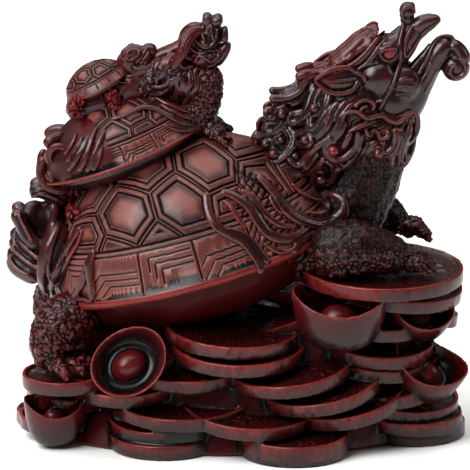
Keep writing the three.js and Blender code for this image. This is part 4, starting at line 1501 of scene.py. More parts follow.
@dataclass
class Head:
    """The big dragon's head, in a frame of its own: +x to the snout and +z to the crown."""

    at: Point = (48.4, 0, 117.9)
    pitch: float = 45
    spots: list[tuple[Array, float]] = field(default_factory=list)
    threads: tuple[Thread, ...] = (
        Thread((53.2, 131.6, 53.9, 129, 52.6, 123.4, 52.8, 118.5, 51.7, 113.6, 49, 108, 46.1, 102), 0.62,
            0.35),
        Thread((45.5, 121.9, 46.8, 122.8, 49.4, 123.1, 52.1, 122.4), 0.6, 0.4),
        Thread((46.1, 120.6, 47.1, 118.8, 49, 117.9, 51, 118.5, 52.1, 120.3), 0.42),
        Thread((57.4, 130, 55.5, 126.8, 54.4, 123.2, 54.2, 120.6, 54.6, 118.7), 0.5),
        Thread((61, 128.1, 59.2, 125.3, 56.9, 122.1, 54.6, 118.7), 0.5),
        Thread((58.7, 113.5, 61.5, 118.5, 64, 123.4, 66.3, 125.7, 69.1, 125.9, 70.3, 124.2), 0.6, 0.2),
        Thread((69, 120.3, 66.5, 117.7, 64.5, 114.5, 62.6, 111, 60.6, 107.4), 0.36, 0.0),
        Thread((62.9, 117.4, 61.3, 114.5, 59.7, 111.6, 57.7, 108.4), 0.3, 0.0),
        Thread((39.7, 107.7, 42.3, 105.5, 45.5, 104.8, 48.7, 106.5, 51, 109.7), 0.42, 0.0),
        Thread((46.1, 117.7, 43.5, 117.1, 41, 115.8, 39, 113.5), 0.5, 0.1),
        Thread((52.3, 111.6, 54.5, 112.3, 57.1, 112.3), 0.32, 0.0),
        Thread((51.9, 109.4, 54.5, 110, 57.4, 109.7), 0.32, 0.0),
        Thread((51.3, 107.1, 53.9, 107.4, 56.8, 106.8), 0.32, 0.0),
        Thread((56.1, 125.2, 55.8, 122.9, 56.5, 121.3), 0.3, 0.0),
        Thread((49.7, 126.5, 51.3, 127.4, 52.9, 129), 0.34, 0.0),
        Thread((47.7, 124.8, 50, 125.5, 52.3, 126.8), 0.34, 0.0),
    )
    # The upper and lower outline of the tuft over the brow, across the head's x and z.
    tuft_top: tuple[Spot, ...] = (
        (9.6, 12.8), (8.9, 14.2), (6, 14.9), (0, 14.8), (-6.1, 14.6), (-11.9, 15.5), (-15.6, 17.0),
        (-18.4, 18.5)
    )
    tuft_low: tuple[Spot, ...] = (
        (9, 12.9), (6.5, 12.2), (3.6, 12.2), (-1, 12.6), (-5, 13.2), (-11, 14.9), (-14.8, 16.6),
        (-18.4, 18.2)
    )

    @property
    def turn(self) -> Array:
        """Gives the head's pitch as a turn."""
        return pitched(self.pitch)

    def place(self, x: float, y: float, z: float) -> Array:
        """Gives a place of the head in the figure's frame."""
        return self.turn @ np.array([x, y, z]) + np.array(self.at)

    def lump(self, clay: Clay, centre: Point, radii: Point, tilt: float = 0.0) -> None:
        """Adds a round lump, turned by a tilt of its own."""
        clay.ball(self.place(*centre), radii, self.turn @ pitched(tilt))

    def strand(
        self, clay: Clay, line: Sequence[Point], widths: Sequence[float], section: Section = Section(),
        out: Point = (0, 1, 0), steps: int = 30
    ) -> None:
        """Adds a strand through places of the drawn head."""
        path = [self.place(*spot) for spot in line]
        clay.strand(path, widths, section, self.turn @ np.array(out), steps)

    def form(self) -> Clay:
        """Makes the skull, jaws and cheeks, blended into each other.

        Returns:
            The form.
        """
        clay = Clay()
        self.lump(clay, (-4, 0, 2.5), (11, 8.0, 10.3))
        self.lump(clay, (-6, 0, -6), (10, 8.4, 10))
        self.strand(
            clay, [(-2, 0, 3.9), (4, 0, 3.6), (10, 0, 3.5), (15, 0, 3.9), (19, 0, 3.0), (22.2, 0, 2.2)],
            (7.5, 6.8, 5.7, 4.8, 3.6, 2.4), Section(0.9), steps=44
        )
        self.strand(
            clay,
            [
                (-6, 0, -12.6), (1, 0, -12), (5.6, 0, -10.6), (10.8, 0, -8.6), (15, 0, -7.2),
                (19.4, 0, -6.7), (22.6, 0, -7.3)
            ],
            (6.4, 5.0, 3.8, 3.7, 3.7, 3.5, 2.9), Section(1.1), steps=44
        )
        for side in BOTH:
            self.lump(clay, (-2.6, 6.1 * side, 1.6), (6.3, 3.7, 5.7), 12)
            self.lump(clay, (6.2, 4.9 * side, 5.4), (4.2, 2.6, 3.6), 10)
            self.lump(clay, (0.5, 4.4 * side, 8.2), (5.6, 3.2, 3.4), -8)
            self.lump(clay, (2.0, 4.4 * side, -5.6), (6.4, 3.1, 5.6), 24)
        return clay.blended(0.62, 9)

    def mouth(self, clay: Clay) -> None:
        """Adds the nose, the tongue and the chin, which rolls forwards and under into a thick disc.

        Args:
            clay: What it is added to.
        """
        self.strand(clay, [(16.4, 0, 6.4), (18.2, 0, 8.4), (19.8, 0, 10.2)], (2.6, 2.1, 2.2), Section(1.1))
        self.strand(
            clay, [(3, 0, -5.6), (9, 0, -5.0), (14, 0, -4.2), (17.4, 0, -3.0)], (2.4, 2.2, 1.7, 0.8),
            Section(0.9)
        )
        self.strand(
            clay, [(20.6, 0, -7.2), (22.3, 0, -9.6), (21.6, 0, -13), (19.4, 0, -16)], (2.2, 2.2, 2.6, 2.0),
            Section(1.4), steps=30
        )
        self.lump(clay, (17.4, 0, -14.4), (4.6, 3.1, 4.4))
        self.lump(clay, (20.0, 0, -10.2), (1.8, 2.3, 1.8))
        for side in BOTH:
            angles = np.radians(np.linspace(66, -330, 50))
            radii = np.linspace(3.9, 1.1, 50)
            line = [
                (17.4 + r * math.cos(a), side * (3.15 - 0.2 * r), -14.4 + r * math.sin(a))
                for r, a in zip(radii, angles)
            ]
            self.strand(clay, line, (0.7, 0.8, 0.6), Section(1), (0, side, 0), 60)
            self.lump(clay, (19.7, 1.5 * side, 9.8), (2.4, 1.6, 2.1), -20)
            self.strand(
                clay,
                [
                    (16.5, 1.5 * side, 4.0), (19.5, 1.7 * side, 4.1), (22.4, 1.6 * side, 2.9),
                    (25.2, 1.1 * side, 1.0)
                ],
                (2.4, 2.2, 1.8, 0.8), Section(0.9)
            )
            self.strand(
                clay,
                [
                    (15.5, 1.7 * side, 1.6), (19.0, 1.9 * side, 1.7), (22.4, 1.7 * side, 1.2),
                    (25.4, 1.1 * side, 0.8)
                ],
                (1.2, 1.3, 1.2, 0.7), Section(0.9)
            )
            self.strand(
                clay,
                [
                    (16.6, 1.8 * side, 8.6), (17.8, 2.6 * side, 11), (20, 2.8 * side, 11.7),
                    (21.9, 2.5 * side, 10.2), (21.2, 2.6 * side, 8.6), (19.6, 2.8 * side, 8.9)
                ],
                (0.5, 0.65, 0.65, 0.6, 0.55, 0.5), Section(1), steps=40
            )

    def tuft(self, clay: Clay, side: float) -> None:
        """Adds one side's tuft over the brow, which sweeps back in separate strands, and the eye.

        Args:
            clay: What it is added to.
            side: 1 for the near side and -1 for the far one.
        """
        top, low = spline(np.array(self.tuft_top), 20), spline(np.array(self.tuft_low), 20)
        for share in (0.0, 0.22, 0.44, 0.64, 0.83, 1.0):
            flat = top + (low - top) * share
            out = 1.8 + 4.0 * math.sin(share * math.pi / 2)
            line = [(x, out * side, z) for x, z in flat]
            wave = [
                (x, y + 0.3 * side * math.sin(i * 1.3 + share * 9), z + 0.25 * math.sin(i * 0.9 + share * 7))
                for i, (x, y, z) in enumerate(line)
            ]
            self.strand(
                clay, wave, (0.6, 0.85, 0.95, 0.9, 0.85, 0.7, 0.5), Section(0.9, 3, 0.24),
                (0, side * (0.3 + share), 1 - 0.8 * share), 50
            )
        inner = [(7.6, 2.6 * side, 13), (3, 3 * side, 13.6), (-4, 3.2 * side, 13.6), (-11, 3.2 * side, 15)]
        self.strand(clay, inner, (1.7, 2.9, 3.1, 2.0), Section(1, 11, 0.1), steps=30)
        for line, width in (
            (
                [
                    (8.4, 5.6 * side, 11.4), (4.6, 6.6 * side, 10.9), (0.5, 7 * side, 10.5),
                    (-3.7, 7.2 * side, 10.9), (-9, 7 * side, 12.8)
                ],
                1.1
            ),
            (
                [
                    (9.2, 5.2 * side, 9.4), (6.2, 6.6 * side, 9.2), (3.0, 7.3 * side, 8.6),
                    (-0.6, 7.6 * side, 8.2), (-4.6, 7.8 * side, 9)
                ],
                0.8
            ),
        ):
            self.strand(
                clay, line, (0.5 * width, width, width, 0.5 * width), Section(0.9, 2, 0.3), (0, side, 0.3),
                44
            )

    def ear(self, clay: Clay, side: float) -> None:
        """Adds one side's leaf-shaped ear, with a raised edge and a rib.

        Args:
            clay: What it is added to.
            side: 1 for the near side and -1 for the far one.
        """
        base, tip = (-5.0, 9.4 * side, 6.7), (-15.9, 11.6 * side, 16.9)
        upper = [base, (-5.6, 10.8 * side, 12.2), (-10.3, 11.7 * side, 15.7), tip]
        lower = [base, (-9.8, 11.4 * side, 6.0), (-14.6, 12.2 * side, 10.0), tip]
        for edge in (upper, lower):
            self.strand(clay, edge, (0.6, 0.85, 0.85, 0.6), Section(0.9), (0, side, 0), 40)
        self.strand(
            clay, [base, (-8.5, 10.2 * side, 9.3), (-11.9, 11.0 * side, 12.3), tip], (2.2, 3.3, 2.7, 0.7),
            Section(0.24), (0, side, 0), 40
        )
        self.strand(
            clay, [(-5.8, 10.4 * side, 7.5), (-9.3, 11.3 * side, 10.1), (-13.3, 11.8 * side, 14.2)],
            (0.4, 0.5, 0.3), Section(1), (0, side, 0)
        )
        self.strand(
            clay, [(-5.1, 9.8 * side, 4.5), (-4.1, 10.2 * side, 6.7), (-4.9, 10.4 * side, 9.3)],
            (0.7, 0.8, 0.6), Section(1), (0, side, 0)
        )

    def horn(self, clay: Clay, side: float) -> None:
        """Adds one side's horn, which sweeps back and up over the mane.

        Args:
            clay: What it is added to.
            side: 1 for the near side and -1 for the far one.
        """
        line = [
            (-12, 4.6, 14.5), (-16.6, 5.2, 17.8), (-19.4, 5.6, 17.4), (-22.6, 5.8, 16.6), (-25.8, 5.6, 17.3),
            (-28.6, 5.4, 19.0), (-31.4, 5.2, 21.8)
        ]
        self.strand(
            clay, [(x, y * side, z) for x, y, z in line], (1.6, 1.5, 1.3, 1.25, 1.25, 1.35, 1.5),
            Section(1, 3, 0.14), steps=56
        )
        self.strand(
            clay, [(-15, 4.6 * side, 17.6), (-17.6, 5.0 * side, 19.2), (-20.6, 5.0 * side, 20.6)],
            (1.3, 1.6, 1.5), Section(1)
        )

    def carve(self) -> Clay:
        """Carves the head: its form, its threads where the photograph shows them, and the rest.

        Returns:
            The carved head.
        """
        clay = self.form()
        for side in BOTH:
            self.lump(clay, (6.9, 5.9 * side, 5.8), (1.9, 1.5, 1.6))
            self.strand(
                clay,
                [
                    (3.4, 6.2 * side, 7.0), (5.9, 7.3 * side, 7.9), (8.2, 7.2 * side, 6.6),
                    (9.6, 6.4 * side, 4.4)
                ],
                (0.5, 0.95, 0.9, 0.4), Section(0.8), (0, side, 0.4)
            )
            self.spots.append((self.place(6.9, 7.2 * side, 5.4), 1.7))
        ground = Ground(clay)
        thread_on(clay, ground, self.threads)
        self.mouth(clay)
        for side in BOTH:
            self.tuft(clay, side)
            self.ear(clay, side)
            self.horn(clay, side)
        return clay

    def build(self, resin: bpy.types.Material) -> None:
        """Makes the face as one skin.

        Args:
            resin: The finish.
        """
        piece = self.carve().fuse("big_head", 0.28, 1)
        points = corners(piece)
        tint = np.zeros(len(points))
        for spot, radius in self.spots:
            away = np.linalg.norm(points - spot, axis=1)
            tint = np.maximum(tint, 1 - smoothstep(0.8 * radius, 1.15 * radius, away))
        mark(piece, Mark.TINT, 0.85 * tint)
        own = (points - np.array(self.at)) @ self.turn
        brow = smoothstep(10.5, 12.5, own[:, 2]) * (1 - smoothstep(8, 11, own[:, 0]))
        mark(piece, Mark.RED, 0.5 * brow * smoothstep(-24, -18, own[:, 0]))
        finish(piece, resin, 115000, (3, 60))


def comb(piece: bpy.types.Object, core: Ground, pitch: float = 1.25, depth: float = 0.34) -> None:
    """Cuts waved hairs into what shows of a form between its locks.

    Args:
        piece: The piece that the form is part of.
        core: The form.
        pitch: The hairs' width in millimetres.
        depth: How deep the grooves between them are.
    """
    points, outs = corners(piece), normals(piece)
    bare = 1 - smoothstep(0.35, 0.7, core.away(points))
    up = points[:, 2] * math.cos(SIGHT_TILT) - np.abs(points[:, 1]) * math.sin(SIGHT_TILT)
    along = -0.75 * points[:, 0] - 0.66 * up
    across = 0.66 * points[:, 0] - 0.75 * up
    sway = 1.5 * np.sin(along * 2 * math.pi / 13 + across * 0.21)
    ripple = 0.6 * np.sin(along * 0.9 + across * 0.8)
    across = across + sway + ripple
    hair = np.abs(np.sin(math.pi * across / pitch)) ** 0.7
    uneven = 0.55 + 0.45 * np.sin(across * 1.9 + along * 0.37) * np.sin(along * 0.53 + 1.3)
    place_corners(piece, points + outs * (bare * depth * uneven * (hair - 0.75))[:, None])


@dataclass
class Mane:
    """The big head's mane: waved locks of grooved hair that end in snails."""

    head: Head
    core: tuple[Point, ...] = ((-2, 0, 0), (-12, 0, 1), (-24, 0, -2), (-35, 0, -3), (-43, 0, -3))
    core_widths: tuple[float, ...] = (9, 13, 14, 12.5, 7)
    low: tuple[Point, ...] = ((-3, 0, -7), (-12, 0, -11), (-20, 0, -16), (-28, 0, -18))
    low_widths: tuple[float, ...] = (8, 10.6, 10, 6)
    nape: tuple[Bulk, ...] = (
        Bulk((53.2, 103.2, 0, 55.2, 100.3, 0, 55.2, 96.1, 0), (2.6, 2.9, 2.9)),
        Bulk((22.3, 108.4, 0, 17.1, 103.9, 0, 14.8, 98.7, 0, 13.5, 93.5, 0, 15.2, 89.7, 0), (5.0, 5.2, 4.6,
            4.8, 4.0)),
        Bulk((29.4, 112.9, 0, 25.5, 110.6, 0, 21.6, 107.7, 0), (3.6, 4.8, 4.6)),
    )
    near: tuple[Lock, ...] = (
        Lock((29, 108.7, 27.1, 106, 26.3, 103.2, 24.7, 100.8, 22.3, 98.8, 19.9, 98.1, 17.9, 98.8, 17.1,
            100.4, 17.9, 101.8, 19.9, 101.6, 20.7, 100.2), 1.3, 2, 0.9, root=1.0, tip=0.8, lift=1.7),
        Lock((31, 104.4, 29.5, 102, 28.3, 99.6, 26.3, 96.8, 23.1, 95.2, 19.9, 94.8, 17.1, 96, 15.8, 98.4,
            16.3, 101.1, 17.7, 103.1), 1.35, 3, 0.85, tip=0.6, lift=0.9),
        Lock((33.5, 104.8, 31.1, 102, 30.3, 98.8, 28.7, 96, 25.5, 93.2, 22.3, 91.5, 19.1, 91.6, 16.8, 93.2),
            1.6, 3, 0.85, lift=0.8),
        Lock((31.3, 93.9, 27.9, 91.6, 25.5, 89.7, 23.5, 87.4, 21.6, 85.3, 19.5, 84.5, 17.7, 85.7, 17.1, 87.3,
            17.9, 88.9, 19.7, 89, 20.5, 87.6), 1.35, 3, 0.85, lift=1.0, tip=0.6),
        Lock((39, 95.8, 38.4, 91.6, 36.5, 88.9, 34.3, 87.2, 31.9, 86.8, 29.7, 88.2, 29, 90.5, 30.5, 92.3,
            32.6, 92.3), 1.3, 2, 0.9, lift=1.0, tip=0.6),
        Lock((33.2, 84.5, 31.9, 82.6, 31, 80.3, 28.9, 78.7, 26.3, 79.2, 25.2, 81.3, 26.5, 83.2, 28.7, 83.1),
            1.2, 2, 0.9, lift=1.0, tip=0.6),
        Lock((45.5, 92.9, 42.7, 89.7, 41.1, 86.1, 39, 82.9, 36.5, 80.8, 34.2, 80.5), 1.9, 4, 0.8, lift=0.9,
            tip=0.4),
        Lock((50.6, 89.7, 49.5, 86.1, 48.6, 82.9, 46.6, 80.6, 44, 80.6, 43.1, 82.1, 44.2, 83.1), 1.5, 3,
            0.85, lift=0.7),
        Lock((53.5, 89.7, 54.8, 87.4, 54.2, 85.5, 52.3, 86.1, 51.5, 84.7, 52.6, 83.5, 54.5, 83.1), 1.1, 2,
            0.9, lift=0.8),
        Lock((57.7, 101.9, 58.5, 98.7, 58.1, 95.5, 56.5, 92.9, 54.5, 90.6), 1.2, 2, lift=0.3, tip=0.6),
        Lock((54.8, 100, 55.8, 96.8, 54.5, 93.9, 55.2, 91), 1.15, 2, lift=0.5),
        Lock((52.6, 97.1, 53.2, 93.9, 51.9, 90.6, 50.3, 88.7), 1.15, 2, lift=0.6),
        Lock((16.8, 104.5, 14.8, 103.2, 14, 101.2, 12.4, 99.7, 10.6, 100.2, 10.2, 101.8, 11.5, 102.7, 12.9,
            102.1), 1.2, 2, 0.9, lift=1.1, tip=0.7),
        Lock((15.5, 100.3, 13.2, 98.7, 11, 98.1, 10.2, 96.5, 11.1, 94.8), 1.3, 2, 0.85, lift=0.8),
        Lock((18.4, 96.8, 16.5, 95.2, 16.1, 92.9, 14.8, 91.3, 13.1, 92.3, 13.1, 94.2, 14.5, 95), 1.2, 2, 0.9,
            lift=1.0, tip=0.6),
        Lock((14.5, 96.1, 11.6, 95.2, 9.2, 94, 7.1, 93.1, 6.6, 91.1, 8.2, 89.8, 10.6, 89.8, 12.9, 91), 1.7,
            3, 0.85, lift=0.9, tip=0.6),
        Lock((35.8, 105.2, 33.9, 102.8, 32.5, 100.4, 31.6, 98.1), 1.2, 3, lift=0.6),
        Lock((37.8, 104.5, 35.8, 102.3, 34.2, 100, 32.9, 97.1, 31, 94.5, 28.1, 92.9), 1.2, 2, lift=0.6),
        Lock((35.5, 98.8, 33.9, 95.6, 31.9, 93.2, 29.4, 91.9), 1.1, 2, lift=0.7),
        Lock((37.1, 95.5, 35.3, 91.9, 34.2, 89.7), 1.1, 2, lift=0.7),
        Lock((40.3, 95.2, 39.4, 91.3, 37.7, 87.7, 35.8, 84.8, 33.2, 83.2), 1.4, 3, lift=0.6),
        Lock((42.9, 92.6, 40.6, 88.7, 38.4, 85.2, 36.1, 82.6), 1.3, 3, lift=0.5),
        Lock((26.8, 89, 24.5, 86.1, 22.6, 83.9, 20.3, 82.9), 1.3, 2, lift=0.6),
        Lock((28.7, 87.1, 26.8, 84.5, 24.2, 82.6, 21.9, 81.6), 1.2, 2, lift=0.5),
        Lock((21, 91, 18.4, 89.7, 15.8, 89.7, 13.5, 88.4), 1.3, 2, lift=0.6),
        Lock((47.7, 93.2, 46.5, 89.7, 44.8, 86.5, 42.9, 83.9, 40.6, 81.3), 1.3, 3, lift=0.6),
        Lock((29, 86.1, 31, 84.5, 31.3, 81.6), 0.75, 1, lift=0.6),
        Lock((30.3, 86.8, 32.6, 84.8, 33.2, 81.9), 0.75, 1, lift=0.6),
        Lock((32.3, 86.1, 34.5, 84.5, 35.2, 81.6), 0.75, 1, lift=0.6),
        Lock((28.7, 110.6, 25.8, 108.1, 23.5, 105.5, 21.3, 103.5), 1.4, 3, lift=0.5),
        Lock((24.8, 111, 22.6, 108.1, 20, 105.2, 17.4, 103.9), 1.4, 3, lift=0.4),
        Lock((21.9, 105.8, 19.7, 104.5, 16.1, 105.5, 12.9, 104.8), 1.1, 2, lift=0.4),
    )
    beard: tuple[Lock, ...] = (
        Lock((33.5, 100, 36.3, 101.5, 39, 101.6, 41.4, 99.8, 44.6, 100.2, 47, 100, 49.4, 98.5, 51.8, 98.2,
            54.5, 100.8, 57.3, 102.4), 0.9, 1, 1.0, lift=1.2, root=0.4, tip=0.6),
        Lock((35.8, 95.2, 38.6, 96.8, 41.4, 98.1, 43.9, 99), 0.9, 1, 1.0, lift=1.3, root=0.4),
        Lock((41.1, 97.1, 42.3, 94.2, 43.5, 95.8, 45.2, 96.5), 0.8, 1, 1.0, lift=1.1),
        Lock((45.2, 96.1, 46.8, 93.4, 48.7, 94.2, 48.5, 96.3), 0.8, 1, 1.0, lift=1.1),
        Lock((38.2, 102.6, 39.2, 104.5, 41.9, 105.2, 44, 103.9, 43.1, 101.8), 0.75, 1, 1.0, lift=0.9),
        Lock((39.4, 101.3, 40.6, 102.9, 42.3, 103.4), 0.55, 1, 1.0, lift=0.9),
    )
    # Round bosses between the locks, as seen, with their radii.
    bosses: tuple[tuple[Spot, float], ...] = (
        ((31.7, 89.5), 1.75),
        ((27.9, 81.0), 1.8),
        ((14.7, 93.1), 1.35),
        ((19.2, 86.9), 1.5),
        ((12.1, 101.1), 0.9),
    )

    def crown_locks(self, clay: Clay, ground: Ground) -> None:
        """Adds the locks that the photograph hides: over the nape, and down the throat.

        Args:
            clay: What it is added to.
            ground: The form that they are laid on.
        """
        head = self.head
        for row, (start, length, count) in enumerate(((8, 14, 5), (18, 14, 6), (28, 13, 5))):
            for i in range(count):
                turn = math.radians((i - (count - 1) / 2) * 19 + (row % 2) * 8)
                share = np.linspace(0, 1, 16)
                swing = turn + 0.16 * np.sin(share * 5 + i * 1.7)
                radius = 17.0
                path = np.array(
                    [
                        head.place(-start - length * s, radius * math.sin(a), radius * math.cos(a) - 3)
                        for s, a in zip(share, swing)
                    ]
                )
                laid, outs = ground.nearest(path, 0.7)
                hand = 2.4 if (i + row) % 2 else -2.4
                finish_lock(clay, laid, outs, Lock((), 2.1, 3, curl=hand, turns=1.2), (1.0,))
        for i in range(5):
            turn = math.radians(180 + (i - 2) * 22)
            share = np.linspace(0, 1, 16)
            swing = turn + 0.14 * np.sin(share * 5 + i * 2.1)
            path = np.array(
                [
                    head.place(-4 - 17 * s, 22 * math.sin(a), 22 * math.cos(a) - 3 * s)
                    for s, a in zip(share, swing)
                ]
            )
            laid, outs = ground.nearest(path, 0.5)
            finish_lock(clay, laid, outs, Lock((), 2.1, 3, curl=2.0 if i % 2 else -2.0, turns=1.1), (1.0,))

    def build(self, resin: bpy.types.Material) -> None:
        """Makes the mane as one skin.

        Args:
            resin: The finish.
        """
        lumps = Clay()
        self.head.strand(lumps, self.core, self.core_widths, Section(1), steps=40)
        self.head.strand(lumps, self.low, self.low_widths, Section(1), steps=30)
        lumps.ball((16, 0, 87), (9, 11, 8))
        for bulk in self.nape:
            bulk.add(lumps)
        core = lumps.blended(0.9, 4)
        whole = Clay()
        whole.add(core)
        form = self.head.form()
        form.add(core)
        ground = Ground(form)
        lay(whole, ground, self.near)
        lay(whole, ground, self.beard)
        for (x, up), radius in self.bosses:
            path, outs = ground.seen(((x - 0.1, up), (x + 0.1, up)), 2, 1.0)
            for side in BOTH:
                whole.ball((path[0] + outs[0] * 0.2) * [1, side, 1], [radius] * 3)
        bare = Ground(core)
        self.crown_locks(whole, bare)
        piece = whole.fuse("big_mane", 0.34, 1)
        comb(piece, bare)
        points = corners(piece)
        path, _ = ground.seen(((31.6, 89.5), (31.8, 89.5)), 2, 1.0)
        mark(piece, Mark.TINT, 1 - smoothstep(1.6, 2.3, np.linalg.norm(points - path[0], axis=1)))
        finish(piece, resin, 140000, (3, 50))


@dataclass
class Flames:
    """The grooved strands that stream over the big shell, and the locks of its tail."""

    shell: Shell
    body: Body
    front: tuple[Lock, ...] = (
        Lock((6.8, 81.3, 10, 78.1, 12.9, 74.8, 15.5, 70.8, 20, 67.3, 25.8, 65.3, 31, 66.2, 34.5, 69.1, 35,
            72.5, 32.6, 74.7, 29.4, 75.3), 2.25, 4, 0.6, lift=0.8, root=0.6, tip=0.4),
        Lock((17.4, 78.4, 20.6, 75.6, 24.2, 73.9, 28.1, 72.9, 30.3, 71.6, 29, 70, 25.5, 68.9, 21.9, 69.4),
            1.15, 2, 0.75, lift=1.1, root=0.5, tip=0.5),
        Lock((-4.8, 76, 0, 74.2, 4.5, 70.8, 7.4, 66.2, 10.3, 62.7, 14.3, 61, 18.9, 61.6, 22.4, 63.9, 24.5,
            65.5), 1.85, 4, 0.6, lift=0.8, root=0.6, tip=0.5),
        Lock((1.6, 76.5, 4.5, 74.5, 7.1, 71.3, 10.3, 67.8, 13.9, 65.4, 18.4, 64.7), 1.3, 2, 0.75, lift=0.9,
            root=0.5, tip=0.5),
        Lock((-9.4, 75.8, -8.5, 69.7, -5.9, 65, -1.3, 62.1, 2.8, 59.8, 5.6, 56.1, 7.6, 52.9, 8.2, 49.7), 1.6,
            3, 0.65, lift=0.8, root=0.7, tip=0.7),
        Lock((-2.9, 64.2, 2.2, 62.4, 5.8, 59.3, 8.7, 55.2, 12.3, 52.1, 15.5, 51.2), 1.25, 2, 0.7, lift=0.9,
            root=0.6, tip=0.5),
        Lock((26.1, 63.9, 22.6, 61.3, 19.7, 59.3, 18.3, 56.1, 16.6, 52.4), 1.2, 2, 0.7, lift=0.7, root=0.6,
            tip=0.5),
        Lock((8.7, 59.7, 11.3, 58.1, 14.5, 56.8, 18.4, 57.4, 21.9, 59.4), 1.0, 2, 0.7, lift=0.5, root=0.5,
            tip=0.5),
        Lock((-4.2, 73.5, -1.3, 71, 1, 67.4, 3.9, 64.2), 0.9, 2, 0.7, lift=0.5, root=0.5, tip=0.5),
        Lock((10.6, 74.8, 13.2, 70.6, 16.5, 68.1), 0.8, 2, 0.7, lift=0.4, root=0.5, tip=0.5),
    )
    rear: tuple[Lock, ...] = (
        Lock((-56.1, 67.1, -57.7, 62.6, -60, 57.7, -61.5, 53.5, -61.8, 49, -61, 44.8, -59, 42.6), 1.75, 4,
            0.7, lift=0.8, root=0.4, tip=0.7),
        Lock((-57.1, 63.2, -58.9, 57.4, -59.8, 52.6, -59.4, 49, -58.1, 46.5), 0.75, 1, 0.8, lift=1.0,
            root=0.5, tip=0.6),
        Lock((-48.7, 64.8, -51.6, 60.6, -54.7, 55.5, -57.3, 50.6, -58.4, 46.1, -57.7, 42.6), 1.75, 4, 0.7,
            lift=0.8, root=0.5, tip=0.7),
        Lock((-48.1, 64.2, -49.7, 59.7, -52.6, 54.8, -54.7, 50.3, -56, 46.5, -55.5, 43.5, -53.1, 41.6, -51,
            42.3, -49.4, 45.2, -48.1, 49.4, -46.8, 53.5, -44.5, 57.7), 1.1, 2, 0.8, lift=1.0, root=0.5,
            tip=0.5),
        Lock((-44.4, 57.4, -45.8, 53.5, -46, 49.4, -45.2, 45.2, -45.5, 40.6), 1.5, 3, 0.7, lift=0.9,
            root=0.4, tip=0.6),
        Lock((-46.8, 52.3, -47.7, 48.4, -49, 44.5), 0.9, 1, 0.8, lift=0.8, root=0.5, tip=0.6),
        Lock((-52.3, 41.3, -48.7, 41.6, -45.5, 40.3), 0.8, 1, 0.9, lift=0.8, root=0.6, tip=0.6),
    )
    # The tail: a lobed bowl with two leaves, and the mass that joins it to the shell.
    tail: tuple[Bulk, ...] = (
        Bulk((-52.6, 73.9, 0, -58.4, 75.5, 3, -62.6, 76.8, 4, -66.1, 75.5, 3), (3.6, 3.4, 3.0, 2.2)),
        Bulk((-71, 70.3, 4, -69, 66.5, 6, -66.5, 61.6, 8, -63.5, 57.4, 9), (2.7, 2.3, 2.7, 3.2)),
        Bulk((-71.9, 61.6, 4, -69.4, 58.7, 6, -66.1, 56.1, 8, -62.9, 53.5, 9), (2.9, 2.7, 3.0, 3.4)),
        Bulk((-71.6, 56.8, 3, -70.3, 53.5, 4, -66.8, 51.3, 6, -61.6, 49.4, 8), (2.8, 4.0, 4.4, 4.8)),
        Bulk((-64.2, 73.5, 0, -64.8, 65.8, 0, -65.5, 56.8, 0, -63.5, 51.6, 0), (4.6, 5.2, 6.6, 8.0)),
        Bulk((-59.7, 73.5, 0, -59.7, 65.8, 0, -59.7, 56.8, 0, -58.4, 51, 0), (6, 6.5, 8.0, 9.0)),
        Bulk((-54.5, 65.8, 9, -57.4, 60, 10, -59, 53.5, 10, -58.7, 46.8, 10), (3.4, 4.6, 5.6, 5.0)),
        Bulk((-58.4, 72.9, 7, -58.1, 68.4, 8, -59.4, 63.2, 9, -61.3, 58.7, 10), (1.5, 1.7, 1.7, 1.7)),
    )
    # Folds on the tail's bowl.
    folds: tuple[Thread, ...] = (
        Thread((-72.9, 56.8, -71.9, 53.5, -69, 50.6, -64.8, 48.4, -61.6, 46.8), 0.8, 0.2),
        Thread((-71.9, 59, -70, 56.5, -67.1, 53.9, -63.2, 51.6), 0.7, 0.2),
        Thread((-71, 62.9, -68.7, 59.7, -65.8, 56.8, -62.9, 54.5), 0.7, 0.2),
        Thread((-69.7, 69, -67.7, 64.8, -65.2, 60.3), 0.6, 0.2),
        Thread((-65.8, 74.5, -62.3, 75.5, -58.4, 74.2, -55.2, 72.3), 0.7, 0.2),
        Thread((-64.2, 76.5, -60.3, 77.4, -56.5, 76.1), 0.6, 0.2),
    )

    def build(self, resin: bpy.types.Material) -> None:
        """Makes the strands and the tail as one skin.

        Args:
            resin: The finish.
        """
        shell = self.shell
        form = shell.form()
        self.body.shoulders(form)
        lumps, clay = Clay(), Clay()
        lay(clay, Ground(form), self.front)
        for bulk in self.tail:
            bulk.add(lumps)
        bowl = lumps.blended(0.6, 3)
        clay.add(bowl)
        form.add(bowl)
        ground = Ground(form)
        lay(clay, ground, self.rear)
        thread_on(clay, ground, self.folds)
        piece = clay.fuse("big_flames", 0.34, 1)
        points = corners(piece)
        up = points[:, 2] * math.cos(SIGHT_TILT) - np.abs(points[:, 1]) * math.sin(SIGHT_TILT)
        reach = np.hypot((points[:, 0] + 63.5) / 4.2, (up - 66.0) / 7.6)
        # Painted shade: the deep middle of the tail's bowl is darkened, and kept red and dull.
        hollow_wash_and_shade = (1 - smoothstep(0.7, 1.1, reach)) * (np.abs(points[:, 1]) < 8.5)
        mark(piece, Mark.DARK_WASH_AND_SHADE, 1.25 * hollow_wash_and_shade)
        mark(piece, Mark.RED, hollow_wash_and_shade)
        finish(piece, resin, 110000, (3, 50))


